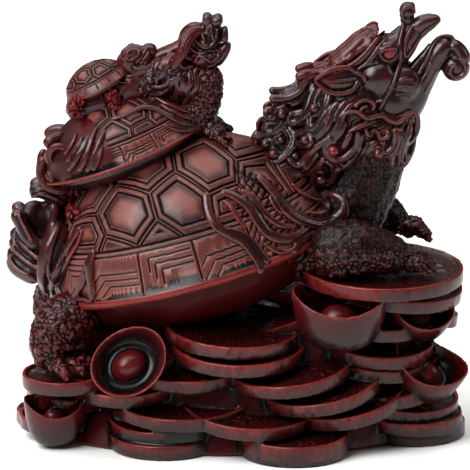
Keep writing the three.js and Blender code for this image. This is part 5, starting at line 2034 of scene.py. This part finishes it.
@dataclass
class MiddleHead:
    """The middle turtle's head and mane, stockier than the big turtle's."""

    form: tuple[Bulk, ...] = (
        Bulk((-9.4, 115.5, 0, -10, 119.4, 0, -10.3, 122.6, 0), (5.4, 6.2, 5.4)),
        Bulk((-9.7, 121.3, 0, -8.7, 125.8, 0, -7.7, 129.4, 0, -7.1, 132.3, 0), (5.0, 4.2, 3.6, 3.1)),
        Bulk((-8.1, 117.4, 0, -4.8, 120, 0, -2.9, 122.6, 0, -2.6, 124.5, 0), (3.2, 2.8, 2.1, 1.5)),
        Bulk((-10.3, 128.1, 0, -13.9, 125.8, 0, -15.5, 122.6, 0, -16.1, 118.7, 0), (2.2, 3.3, 3.7, 3.4)),
        Bulk((-10.6, 122.6, 3.4, -9, 124.8, 3.2), (2.2, 1.5)),
        Bulk((-11.3, 119.4, 4.2, -9.7, 118.7, 4), (2.4, 2.2)),
    )
    mass: tuple[Bulk, ...] = (
        Bulk((-31, 104.6, 0, -26.5, 105.5, 0, -21, 106, 0), (4.0, 5.4, 5.4)),
        Bulk((-14.5, 119.7, 0, -18.7, 116.5, 0, -22.6, 112.9, 0, -25.5, 109.7, 0), (6.4, 7.0, 6.4, 4.6)),
        Bulk((-11.9, 117.4, 0, -14.2, 113.5, 0, -15.5, 109, 0, -15.8, 105.2, 0), (6.2, 7.3, 7.2, 6)),
        Bulk((-17.1, 119.4, 0, -23.2, 116.1, 0, -27.4, 112.3, 0, -30.6, 107.7, 0), (4.6, 5.2, 5.4, 4.4)),
    )
    bulks: tuple[Bulk, ...] = (
        Bulk((-9.7, 129, 1.6, -9, 131, 1.7, -8.9, 132.9, 1.6), (1.3, 1.5, 1.6)),
        Bulk((-7.4, 129.4, 1.8, -5.8, 130.6, 1.9, -3.9, 131.3, 1.8), (1.5, 1.7, 1.7)),
        Bulk((-8.4, 128.4, 0, -7.4, 131, 0, -7.1, 132.6, 0), (2.0, 2.4, 2.4)),
        Bulk((-3.5, 123.9, 1.4, -3.2, 127.1, 1.4, -3.4, 128.7, 1.2), (1.5, 1.2, 0.8)),
        Bulk((-10, 128.1, 2.2, -13.2, 127.1, 3.4, -15.5, 124.5, 4.6, -16.8, 121, 5.6, -18.7, 117.7, 5.9,
            -20.3, 115.2, 5.7), (1.2, 2.1, 2.3, 2.0, 1.6, 1.3), Section(0.8, 5, 0.26)),
        Bulk((-19.7, 115.5, 5.8, -21.3, 113.5, 5.6), (1.7, 1.6)),
        Bulk((-16.5, 122.9, 1.8, -20.3, 121.3, 2.2, -22.9, 120.3, 2.4, -25.8, 119, 2.2), (2.0, 1.5, 1.3,
            1.4), Section(0.9, 3, 0.2)),
    )
    threads: tuple[Thread, ...] = (
        Thread((-13.5, 126.1, -11.9, 123.9, -9.7, 122.3, -7.4, 123.2, -6.1, 125.8, -5.8, 128.4), 0.42, 0.25),
        Thread((-7.7, 129.4, -7.4, 126.5, -6.8, 124.2), 0.42, 0.25),
        Thread((-10, 129.4, -10.3, 126.5, -9.7, 124.2), 0.5, 0.3),
        Thread((-4.5, 128.7, -4.5, 125.8, -5.2, 123.2), 0.42, 0.25),
        Thread((-11.3, 126.1, -9.4, 126.9, -7.7, 125.8), 0.4, 0.25),
        Thread((-14.8, 122.9, -12.6, 120.6, -10.3, 120.3, -8.7, 121.3, -7.1, 121), 0.45, 0.3),
        Thread((-12.9, 117.4, -11.6, 119.4, -9.7, 118.7, -7.7, 117.7, -5.2, 118.7), 0.45, 0.35),
        Thread((-7.1, 120.6, -6.1, 121.6, -5.2, 120.6, -6.1, 119.7, -6.9, 120.3), 0.35, 0.25),
        Thread((-4.2, 121.3, -5.2, 119.4, -6.8, 118.1), 0.35, 0.2),
        Thread((-15.8, 121.3, -14.5, 119.4, -12.3, 119.7), 0.4, 0.3),
        Thread((-12.6, 122.6, -11.3, 121.3, -9.4, 121), 0.32, 0.2),
        Thread((-9, 116.1, -7.1, 116.8, -5.2, 118.1), 0.32, 0.2),
    )
    locks: tuple[Lock, ...] = (
        Lock((-18.7, 118.1, -16.1, 118.9, -13.2, 118.1), 0.6, 1, 1.0, lift=0.7),
        Lock((-18.7, 117.6, -16.5, 115.5, -12.9, 116.8), 0.6, 1, 1.0, lift=0.7),
        Lock((-13.5, 116.1, -14.5, 113.5, -14.2, 111, -15.5, 108.4, -14.8, 105.8), 0.95, 2, lift=0.5,
            tip=0.4),
        Lock((-15.5, 114.8, -16.8, 112.3, -16.1, 109.7, -17.4, 106.8), 0.95, 2, lift=0.4, tip=0.4),
        Lock((-11.9, 116.5, -12.9, 113.5, -12.3, 110.3, -13.5, 107.4, -13.2, 104.5), 0.9, 2, lift=0.4,
            tip=0.5),
        Lock((-17.4, 114.2, -18.7, 111.6, -18.4, 108.7, -20, 106.1), 0.95, 2, lift=0.4, tip=0.4),
        Lock((-19.4, 112.9, -20.6, 110.3, -22.3, 108.4, -24.2, 106.8), 0.9, 2, lift=0.4, tip=0.4),
        Lock((-20.6, 112.3, -22.6, 110.3, -24.8, 109.7, -27.1, 110.3), 0.9, 2, curl=1.2, turns=1.1, lift=0.5),
        Lock((-21.6, 109.4, -23.9, 107.7, -26.1, 107.4, -28.4, 108.4), 0.85, 2, curl=1.1, turns=1.1,
            lift=0.5),
        Lock((-10.3, 115.8, -11.3, 112.9, -11, 109.7, -11.6, 107.1), 0.8, 2, lift=0.3, tip=0.4),
        Lock((-21.9, 119.4, -23.2, 116.8, -22.9, 114.2, -24.5, 111.9), 1.2, 3, lift=0.3, tip=0.5),
        Lock((-19.7, 120.6, -21, 118.1, -22.3, 115.8), 1.1, 3, lift=0.2, tip=0.6),
        Lock((-24.2, 118.1, -25.2, 115.8, -24.8, 113.2, -26.1, 111.3), 1.0, 2, curl=-1.1, turns=1.0,
            lift=0.3),
        Lock((-16.5, 111, -17.7, 108.4, -19, 106.5, -21.3, 104.8), 0.8, 2, curl=1.0, turns=1.0, lift=0.4),
        Lock((-14.2, 108.4, -15.5, 105.8, -16.8, 103.9), 0.8, 2, lift=0.3, tip=0.5),
    )

    def build(self, resin: bpy.types.Material) -> None:
        """Makes the head and the mane as one skin.

        Args:
            resin: The finish.
        """
        lumps, mass = Clay(), Clay()
        for bulk in self.form:
            bulk.add(lumps)
        for bulk in self.mass:
            bulk.add(mass)
        face, mass = lumps.blended(0.5, 4), mass.blended(0.6, 5)
        clay = Clay()
        clay.add(face)
        clay.add(mass)
        ground = Ground(clay)
        for bulk in self.bulks:
            bulk.add(clay)
        thread_on(clay, ground, self.threads)
        lay(clay, ground, self.locks)
        bare = Ground(mass)
        for row in range(4):
            for i in range(4):
                turn = math.radians((i - 1.5) * 26 + row * 9)
                share = np.linspace(0, 1, 12)
                middle = np.array([-14.0 - 3.4 * row, 0, 118.0 - 4.6 * row])
                fall = np.stack(
                    [-4 - 5 * share, 9 * np.sin(turn + 0.3 * np.sin(5 * share + i)), 8 - 5 * share], axis=1
                )
                laid, outs = bare.nearest(middle + fall, 0.35)
                finish_lock(
                    clay, laid, outs, Lock((), 1.1, 3, curl=1.2 if i % 2 else -1.2, turns=1.0), BOTH[:1]
                )
        piece = clay.fuse("middle_head", 0.25, 1)
        comb(piece, bare, 0.95, 0.22)
        points = corners(piece)
        mark(
            piece, Mark.RED,
            0.5 * smoothstep(118, 124, points[:, 2]) * (1 - smoothstep(-13, -10, points[:, 0]))
        )
        finish(piece, resin, 62000, (3, 50))


@dataclass
class MiddleTurtle:
    """The smaller dragon turtle that rides on the big shell."""

    shell: Shell
    neck: tuple[Point, ...] = ((-22, 0, 97), (-14, 0, 102), (-10.6, 0, 109), (-9.6, 0, 116), (-9.6, 0, 122))
    flames: tuple[Lock, ...] = (
        Lock((-39.7, 99, -35.6, 100, -29.9, 102.7, -25.7, 102.4, -21.6, 100.3, -17.9, 98.3, -14.6, 97.2,
            -11.7, 99), 1.1, 2, 0.7, lift=0.6, root=0.5, tip=0.6),
        Lock((-27.4, 106.5, -24.8, 105.5, -22, 104, -17.9, 102.4, -14.2, 101.2, -11.6, 100.7), 1.1, 2, 0.7,
            lift=0.6, root=0.5, tip=0.7),
        Lock((-24.2, 103.9, -21, 101.9, -17.4, 100.3, -13.9, 99.2, -11.6, 99.8), 0.9, 2, 0.7, lift=0.6,
            root=0.5, tip=0.7),
        Lock((-23.2, 97.4, -20.6, 96.6, -18.4, 95.9, -14.6, 95.7, -12.3, 97.3), 1.0, 2, 0.7, lift=0.6,
            root=0.5, tip=0.6),
        Lock((-43.9, 96.8, -45.2, 93.9, -46.5, 90, -48.1, 85.8, -49.7, 82.3), 1.2, 3, 0.8, lift=0.6,
            root=0.3, tip=0.7),
        Lock((-41.3, 95.8, -42.9, 92.3, -44.2, 89, -45.8, 85.2, -47.1, 82.3), 1.2, 3, 0.8, lift=0.6,
            root=0.3, tip=0.7),
        Lock((-46.1, 94.8, -47.7, 91.6, -49.7, 88.1, -51.6, 84.8, -53.2, 82.6), 1.2, 3, 0.8, lift=0.6,
            root=0.3, tip=0.7),
        Lock((-48.4, 93.9, -49.7, 91, -51.6, 88.1, -53.5, 85.5), 1.0, 2, 0.8, lift=0.6, root=0.3, tip=0.7),
        Lock((-41.9, 91, -43.2, 87.7, -44.5, 84.2, -45.2, 82.6), 1.0, 2, 0.8, lift=0.6, root=0.3, tip=0.7),
        Lock((-50.6, 95.2, -51.3, 92.3, -52.9, 89.7, -54.5, 87.7), 0.8, 1, 0.8, lift=0.5, root=0.3, tip=0.7),
    )
    limbs: tuple[Lock, ...] = (
        Lock((-13.9, 96.1, -10.6, 95.5, -7.4, 93.9, -4.2, 91.9), 3.3, 0, 0.95, root=1.0, tip=0.8, lift=1.8),
        Lock((-6.8, 93.9, -3.9, 92.9, -1.6, 91.3), 1.2, 0, 1.0, lift=1.6),
        Lock((-7.1, 92.6, -4.5, 91, -2.6, 89.7), 1.2, 0, 1.0, lift=1.4),
        Lock((-5.5, 93.5, -2.6, 92.6, -0.3, 91.6), 1.1, 0, 1.0, lift=0.8),
        Lock((-46.1, 80, -48.7, 76.8, -51.3, 74.2, -53.2, 70.3), 3.4, 0, 0.95, root=1.0, tip=0.85, lift=1.8),
        Lock((-51.9, 71.6, -50.3, 69.4, -48.7, 68.4), 1.2, 0, 1.0, lift=1.4),
        Lock((-52.9, 71, -51.9, 68.7, -51, 67.1), 1.2, 0, 1.0, lift=1.4),
    )
    rings: tuple[Bulk, ...] = (
        Bulk((-51.9, 92.6, 3, -55.8, 93.5, 5, -59, 92.6, 6, -61, 90.6, 6), (1.8, 2.1, 2.0, 1.8), Section(0.9,
            4, 0.3)),
        Bulk((-51.6, 86.5, 9, -53.2, 89, 10, -55.8, 90.6, 10, -58.4, 90, 9.5, -59.7, 87.4, 8.5, -59, 84.8,
            8), (0.9, 1.1, 1.1, 1.2, 1.6, 1.3), Section(0.9, 2, 0.3)),
        Bulk((-52.6, 80.6, 8, -56.1, 80, 9, -58.7, 80.6, 9, -60, 82.9, 8), (1.1, 1.5, 1.7, 1.4), Section(0.9,
            3, 0.3)),
        Bulk((-53.2, 76.8, 5, -57.1, 76.8, 6, -60.6, 78.4, 6, -62.3, 81.6, 5, -62.3, 85.2, 5, -61, 87.4, 5),
            (1.4, 1.8, 1.8, 1.8, 1.5, 1.2), Section(0.9, 4, 0.3)),
        Bulk((-55.2, 83.2, 8.5, -57.1, 84.2, 9, -57.4, 86.1, 9, -55.8, 86.8, 9), (0.7, 0.9, 0.8, 0.6)),
    )

    def legs(self, clay: Clay) -> None:
        """Adds the legs, which lie on the big shell, with their claws."""
        ground = Ground(BIG_SHELL.form())
        lay(clay, ground, self.limbs)

    def build(self, resin: bpy.types.Material) -> None:
        """Makes the turtle's body as one skin, and the strands and the tail as another.

        Args:
            resin: The finish.
        """
        shell = self.shell
        limbs = Clay()
        limbs.strand(self.neck, (6.9, 6.7, 6.4, 6.0, 5.6), Section(1), steps=40)
        self.legs(limbs)
        clay = Clay()
        clay.add(limbs)
        belly_centre = shell.turn @ np.array([0, 0, -shell.height * 0.1]) + np.array(shell.centre)
        clay.ball(belly_centre, (shell.half[0] * 0.9, shell.half[1] * 0.88, shell.height * 0.42), shell.turn)
        piece = clay.fuse("middle_body", 0.4, 3)
        points, outs = corners(piece), normals(piece)
        skin = 1 - smoothstep(0.4, 1.4, Ground(limbs).away(points))
        place_corners(piece, points + outs * (skin * craggy(points, 1.2, 11))[:, None])
        rear = 1 - smoothstep(-42, -36, points[:, 0])
        mark(piece, Mark.RED, 0.9 * skin * rear)
        # Away from the rear leg, the body is darkened as painted shade under the shell.
        mark(piece, Mark.DARK_WASH_AND_SHADE, np.where(rear > 0.5, 0.1, 0.5))
        finish(piece, resin, 36000, (3, 30))
        clay = Clay()
        lay(clay, Ground(shell.form()), self.flames)
        for bulk in self.rings:
            bulk.add(clay)
        clay.ball((-55.0, 0, 86.5), (6, 7, 8))
        piece = clay.fuse("middle_flames", 0.3, 1)
        mark(piece, Mark.RED, 0.35 * (1 - smoothstep(-56, -51, corners(piece)[:, 0])))
        finish(piece, resin, 36000, (3, 36))


@dataclass
class SmallTurtle:
    """The plain turtle on top."""

    shell: Shell
    form: tuple[Bulk, ...] = (
        Bulk((-54.5, 101.9, 0, -49.4, 103.2, 0, -44.2, 104.8, 0, -38.4, 106.8, 0, -32.5, 108.6, 0, -27.5,
            109.4, 0), (3.6, 5.4, 6.2, 6.0, 5.2, 4.6)),
        Bulk((-42.3, 106.5, 0, -37.4, 107.4, 0, -33.9, 110.3, 0, -31.9, 113.9, 0, -31.3, 116.8, 0), (5.6,
            5.8, 5.6, 4.7, 4.0)),
        Bulk((-37.4, 115, 0, -33.9, 117.6, 0, -31, 118.1, 0, -28.2, 118.1, 0, -24.8, 118.9, 0), (3.4, 4.1,
            4.0, 3.9, 3.6)),
        Bulk((-36.4, 117.8, 2.2, -33, 120.4, 2.5, -29.2, 119.9, 2.2), (2.0, 2.0, 1.8)),
        Bulk((-30.2, 119.2, 1.3, -27.8, 121.5, 1.3, -25.2, 120.4, 1.2), (1.8, 1.8, 1.8)),
        Bulk((-33.9, 114, 2.2, -29.8, 115.2, 2.4, -25.6, 116.8, 1.8), (2.4, 2.6, 2.2)),
    )
    legs: tuple[Bulk, ...] = (
        Bulk((-40.3, 109, 5, -39, 106.1, 6.4, -38.4, 103.2, 6.8, -38.1, 101.6, 6.8), (2.4, 2.6, 2.5, 2.1)),
        Bulk((-39.4, 103.2, 7.8, -37.4, 102.6, 8.4, -35.5, 101.9, 8.6), (1.3, 1.2, 0.8)),
        Bulk((-39.4, 103.9, 5.6, -37.1, 103.2, 5.8, -35.2, 102.6, 5.8), (1.3, 1.2, 0.8)),
        Bulk((-48.1, 106.8, 5.4, -50.6, 104.8, 6.4, -51.3, 102.3, 6.8, -51, 100, 6.8), (2.4, 2.4, 2.3, 1.9)),
        Bulk((-51.6, 101.3, 7.4, -49.7, 100.3, 7.8, -48.1, 99.7, 8), (1.3, 1.1, 0.7)),
    )
    threads: tuple[Thread, ...] = (
        Thread((-32.6, 117.7, -31.3, 119.7, -30.3, 121.3), 0.4, 0.1),
        Thread((-31.6, 117.4, -30, 119.4, -28.7, 121.3, -27.7, 122.6), 0.45, 0.15),
        Thread((-30.3, 117.1, -28.7, 119, -27.4, 121), 0.42, 0.1),
        Thread((-29, 116.8, -28.1, 118.4, -26.8, 120), 0.38, 0.1),
        Thread((-34.8, 119, -33.9, 118.2, -32.6, 118.7, -31.9, 120.6, -32.9, 121.6, -34.2, 120.9, -34.8,
            119.2), 0.4, 0.1),
        Thread((-32.9, 116.1, -30.6, 115.5, -28.1, 115.8, -26.3, 117.1), 0.4, 0.1),
        Thread((-36.8, 114.8, -34.5, 113.2, -31.9, 113.5), 0.3, 0.05),
        Thread((-38.4, 112.6, -36.1, 111, -33.2, 111.3), 0.3, 0.05),
    )

    def build(self, resin: bpy.types.Material) -> None:
        """Makes the turtle's head, legs and belly as one skin under its shell.

        Args:
            resin: The finish.
        """
        shell = self.shell
        lumps, legs = Clay(), Clay()
        lumps.ball(
            shell.turn @ np.array([0, 0, -0.75]) + np.array(shell.centre), (10.1, 7.9, 3.2), shell.turn
        )
        for bulk in self.form:
            bulk.add(lumps)
        for bulk in self.legs:
            bulk.add(legs)
        clay = lumps.blended(0.4, 4)
        thread_on(clay, Ground(clay), self.threads)
        clay.add(legs)
        piece = clay.fuse("small_body", 0.26, 2)
        points, outs = corners(piece), normals(piece)
        skin = 1 - smoothstep(0.3, 0.9, Ground(legs).away(points))
        place_corners(piece, points + outs * (skin * craggy(points, 1.1, 17))[:, None])
        mark(piece, Mark.RED, 0.3 + 0.7 * skin)
        finish(piece, resin, 26000, (3, 30))


def linear(code: str) -> tuple[float, float, float, float]:
    """Turns an sRGB hex colour to linear light."""
    values = [int(code[i : i + 2], 16) / 255 for i in (1, 3, 5)]
    return (*(v / 12.92 if v <= 0.04045 else ((v + 0.055) / 1.055) ** 2.4 for v in values), 1.0)


def add_node(
    tree: bpy.types.NodeTree,
    kind: str,
    inputs: dict[int | str, object],
    output: int | str = 0,
    **settings: object,
) -> bpy.types.NodeSocket | None:
    """Adds a node, sets it and links it.

    Args:
        tree: The material's nodes.
        kind: The node's type.
        inputs: A value, or another node's output, for each input that isn't left as it is.
        output: Which of its outputs is wanted.
        settings: The node's own settings.

    Returns:
        That output, if the node has any.
    """
    node = tree.nodes.new(kind)
    for name, value in settings.items():
        setattr(node, name, value)
    for name, value in inputs.items():
        if isinstance(value, bpy.types.NodeSocket):
            tree.links.new(value, node.inputs[name])
        else:
            node.inputs[name].default_value = value
    return node.outputs[output] if len(node.outputs) else None


NOISE, MATH, RANGE, MIX = "ShaderNodeTexNoise", "ShaderNodeMath", "ShaderNodeMapRange", "ShaderNodeMix"
SMOOTH = {"interpolation_type": "SMOOTHSTEP"}
COLOURS = {"data_type": "RGBA"}
# A node's own ways to work out a number from two.
TIMES, LARGER, PLUS, MINUS, OVER = (
    {"operation": name} for name in ("MULTIPLY", "MAXIMUM", "ADD", "SUBTRACT", "GREATER_THAN")
)


@dataclass(frozen=True)
class CastResin:
    """Polyester resin filled with stone powder, cast red-brown, washed with black and rubbed back.

    The washed-in black stays dull in the small hollows, the rubbed ridges show the red of the resin, and a
    thin coat of clear lacquer gives the broad forms a soft grey sheen. The same black is laid on as painted
    shade in the big hollows, low on the coins' sides, inside the ingots, over the big belly, under the middle
    shell, on the big neck and deep in the tail's bowl, and the raised specks of the coins' faces are lit
    bright red as painted glints. Sizes are in millimetres. The powder's texture is finer than shows, and is
    drawn as coarse as it needs to show.
    """

    name: str = "cast_red_resin"
    body: str = "#1E0709"
    warm: str = "#340E10"
    red: str = "#4E0A0E"
    wash_and_shade_black: str = "#030202"
    rubbed: str = "#782822"
    dusty: str = "#80463E"
    bright: str = "#6E0A0E"
    blotch_size: float = 14.0
    mottle_size: float = 2.2
    patch_size: float = 24.0
    grain_size: float = 0.9
    grain_depth: float = 0.06
    refraction: float = 1.52

    def build(self) -> bpy.types.Material:
        """Makes the material.

        Returns:
            The material that all pieces share.
        """
        material = bpy.data.materials.new(self.name)
        material.use_nodes = True
        material.node_tree.nodes.clear()
        add = partial(add_node, material.node_tree)
        where = add("ShaderNodeTexCoord", {}, "Object")
        clouds = (
            (self.blotch_size, 3.0),
            (self.mottle_size, 4.0),
            (self.patch_size, 2.0),
            (self.grain_size, 3.0),
        )
        blotch, mottle, patch, dust = (
            add(NOISE, {"Vector": where, "Scale": 1 / (size * METRES), "Detail": detail}, "Fac")
            for size, detail in clouds
        )
        fine, broad, groove, dark_wash_and_shade, tint, red, polished = (
            add("ShaderNodeAttribute", {}, "Fac", attribute_name=kind.value) for kind in Mark
        )
        # The resin's own colour, blotched, and redder where it is marked.
        blotches = add(RANGE, {0: blotch, 1: 0.38, 2: 0.62}, **SMOOTH)
        colour = add(MIX, {0: blotches, 6: linear(self.body), 7: linear(self.warm)}, 2, **COLOURS)
        colour = add(MIX, {0: red, 6: colour, 7: linear(self.red)}, 2, **COLOURS)
        # Shells are dusty pink between their lines, and more evenly so on their margins.
        has_lines = add(MATH, {0: groove, 1: 0.0001}, **OVER)
        margin = add(MATH, {0: polished, 1: has_lines}, **TIMES)
        open_ground = add(MATH, {0: add(RANGE, {0: groove, 1: 0.9, 2: 3.6}, **SMOOTH), 1: has_lines}, **TIMES)
        in_patches = add(RANGE, {0: patch, 1: 0.24, 2: 0.54}, **SMOOTH)
        open_ground = add(MATH, {0: open_ground, 1: in_patches}, **TIMES)
        open_ground = add(MATH, {0: open_ground, 1: add(MATH, {0: margin, 1: 0.5}, **TIMES)}, **LARGER)
        pink = add(MATH, {0: open_ground, 1: 0.66}, **TIMES)
        colour = add(MIX, {0: pink, 6: colour, 7: linear(self.dusty)}, 2, **COLOURS)
        # Ridges are rubbed back to the red, unevenly.
        small_ridge = add(RANGE, {0: fine, 1: -0.012, 2: -0.1}, **SMOOTH)
        big_ridge = add(RANGE, {0: broad, 1: -0.15, 2: -1.1}, **SMOOTH)
        ridge = add(MATH, {0: small_ridge, 1: big_ridge}, **LARGER)
        ridge = add(MATH, {0: ridge, 1: add(RANGE, {0: mottle, 1: 0.35, 2: 0.6, 3: 0.7, 4: 1.0})}, **TIMES)
        ridge = add(MATH, {0: ridge, 1: add(RANGE, {0: patch, 1: 0.35, 2: 0.6, 3: 0.4, 4: 1.0})}, **TIMES)
        rubbed = add(MIX, {0: has_lines, 6: linear(self.rubbed), 7: linear(self.dusty)}, 2, **COLOURS)
        colour = add(MIX, {0: ridge, 6: colour, 7: rubbed}, 2, **COLOURS)
        # Washed-in black stays in the small hollows and on rough ground, and along the shells' lines. The
        # same black is painted shade in the big hollows and wherever shade is marked.
        small_hollow = add(RANGE, {0: fine, 1: 0.0, 2: 0.028}, **SMOOTH)
        big_hollow_shade = add(RANGE, {0: broad, 1: 0.0, 2: 0.42}, **SMOOTH)
        hollow_wash_and_shade = add(MATH, {0: small_hollow, 1: big_hollow_shade}, **LARGER)
        hollow_wash_and_shade = add(MATH, {0: hollow_wash_and_shade, 1: add(MATH, {0: dark_wash_and_shade, 1: 0.75}, **TIMES)}, **LARGER)
        colour = add(MIX, {0: hollow_wash_and_shade, 6: colour, 7: linear(self.wash_and_shade_black)}, 2, **COLOURS)
        halo = add(MATH, {0: add(RANGE, {0: groove, 1: 1.5, 2: 0.3}, **SMOOTH), 1: 0.45}, **TIMES)
        halo = add(MATH, {0: halo, 1: add(MATH, {0: 1.0, 1: margin}, **MINUS)}, **TIMES)
        lined = add(MATH, {0: add(RANGE, {0: groove, 1: 0.36, 2: 0.2}, **SMOOTH), 1: halo}, **LARGER)
        lined = add(MATH, {0: lined, 1: has_lines}, **TIMES)
        colour = add(MIX, {0: lined, 6: colour, 7: linear(self.wash_and_shade_black)}, 2, **COLOURS)
        # Eyes and bosses are bright red, and so, as painted glints, are the raised specks of the coins'
        # faces.
        colour = add(MIX, {0: tint, 6: colour, 7: linear(self.bright)}, 2, **COLOURS)
        # Washed-in black and painted shade are dull, and the lacquer over the rest glossy, less so on red
        # ground and shells.
        dull = add(MATH, {0: hollow_wash_and_shade, 1: lined}, **LARGER)
        dull = add(MATH, {0: dull, 1: add(MATH, {0: 1.0, 1: polished}, **MINUS)}, **TIMES)
        satin = add(RANGE, {0: mottle, 1: 0.3, 2: 0.7, 3: 0.22, 4: 0.3})
        satin = add(MATH, {0: satin, 1: add(MATH, {0: has_lines, 1: 0.08}, **TIMES)}, **PLUS)
        rough = add(MIX, {0: dull, 2: satin, 3: 0.5}, data_type="FLOAT")
        gloss = add(RANGE, {0: dull, 3: 0.42, 4: 0.08})
        gloss = add(MATH, {0: gloss, 1: add(RANGE, {0: red, 3: 1.0, 4: 0.3})}, **TIMES)
        gloss = add(MATH, {0: gloss, 1: add(RANGE, {0: has_lines, 3: 1.0, 4: 0.64})}, **TIMES)
        bump = add("ShaderNodeBump", {"Strength": 0.3, "Distance": self.grain_depth * METRES, "Height": dust})
        surface = {"Base Color": colour, "Roughness": rough, "Specular IOR Level": gloss, "Normal": bump}
        shader = add("ShaderNodeBsdfPrincipled", {**surface, "IOR": self.refraction})
        add("ShaderNodeOutputMaterial", {"Surface": shader})
        return material


@dataclass(frozen=True)
class Studio:
    """The pale floor, the soft light and the camera."""

    frame_width: float = 470 / 3.1
    distance: float = 2500.0
    middle_height: float = (428 - 235) / 3.1
    sensor: float = 36.0

    def camera(self) -> None:
        """Sets the camera up at the photograph's angle, far away behind a long lens."""
        target = np.array([0, 0, self.middle_height / math.cos(SIGHT_TILT)])
        at = target - SIGHT * self.distance
        bpy.ops.object.camera_add(location=at * METRES, rotation=(math.pi / 2 - SIGHT_TILT, 0, 0))
        camera = bpy.context.object
        camera.data.lens = self.sensor * self.distance / self.frame_width
        camera.data.sensor_width = self.sensor
        camera.data.clip_end = 50
        bpy.context.scene.camera = camera

    def lamp(self, at: Point, size: float, watts: float) -> None:
        """Adds a soft lamp that faces the figure.

        Args:
            at: Its place in millimetres.
            size: Its width in millimetres.
            watts: Its power.
        """
        bpy.ops.object.light_add(type="AREA", location=np.array(at) * METRES)
        lamp = bpy.context.object
        lamp.data.shape = "DISK"
        lamp.data.size = size * METRES
        lamp.data.energy = watts
        aim = Vector((0, 0, 0.06)) - lamp.location
        lamp.rotation_euler = aim.to_track_quat("-Z", "Y").to_euler()

    def build(self) -> None:
        """Makes the floor, the lamps, the light of the room and the camera."""
        bpy.ops.object.select_all(action="DESELECT")
        bpy.ops.mesh.primitive_circle_add(vertices=128, radius=6, fill_type="NGON", location=(0, 0, -0.0005))
        floor = bpy.context.object
        floor.name = "floor"
        pale = bpy.data.materials.new("pale_floor")
        pale.use_nodes = True
        shader = pale.node_tree.nodes["Principled BSDF"]
        shader.inputs["Base Color"].default_value = linear("#FAFAF8")
        shader.inputs["Roughness"].default_value = 0.9
        floor.data.materials.append(pale)
        world = bpy.data.worlds.new("room")
        world.use_nodes = True
        world.node_tree.nodes["Background"].inputs["Color"].default_value = linear("#FFFFFF")
        world.node_tree.nodes["Background"].inputs["Strength"].default_value = 0.07
        bpy.context.scene.world = world
        self.lamp((-250, 200, 1200), 2200, 30.0)
        self.lamp((-650, -650, 850), 800, 16.5)
        self.lamp((900, 100, 500), 400, 1.2)
        bpy.context.scene.view_settings.view_transform = "Standard"
        self.camera()


def main() -> None:
    """Builds the figure's pieces in order, and the studio round them."""
    logging.basicConfig(level=logging.INFO, format="%(message)s")
    Clay.roll_ball()
    resin = CastResin().build()
    Studio().build()
    big_head = Head()
    body = Body(BIG_SHELL)
    builders = (
        Heap(),
        BIG_SHELL,
        body,
        Flames(BIG_SHELL, body),
        big_head,
        Mane(big_head),
        MIDDLE_SHELL,
        MiddleTurtle(MIDDLE_SHELL),
        MiddleHead(),
        SMALL_SHELL,
        SmallTurtle(SMALL_SHELL),
    )
    for builder in builders:
        builder.build(resin)


if __name__ == "__main__":
    main()
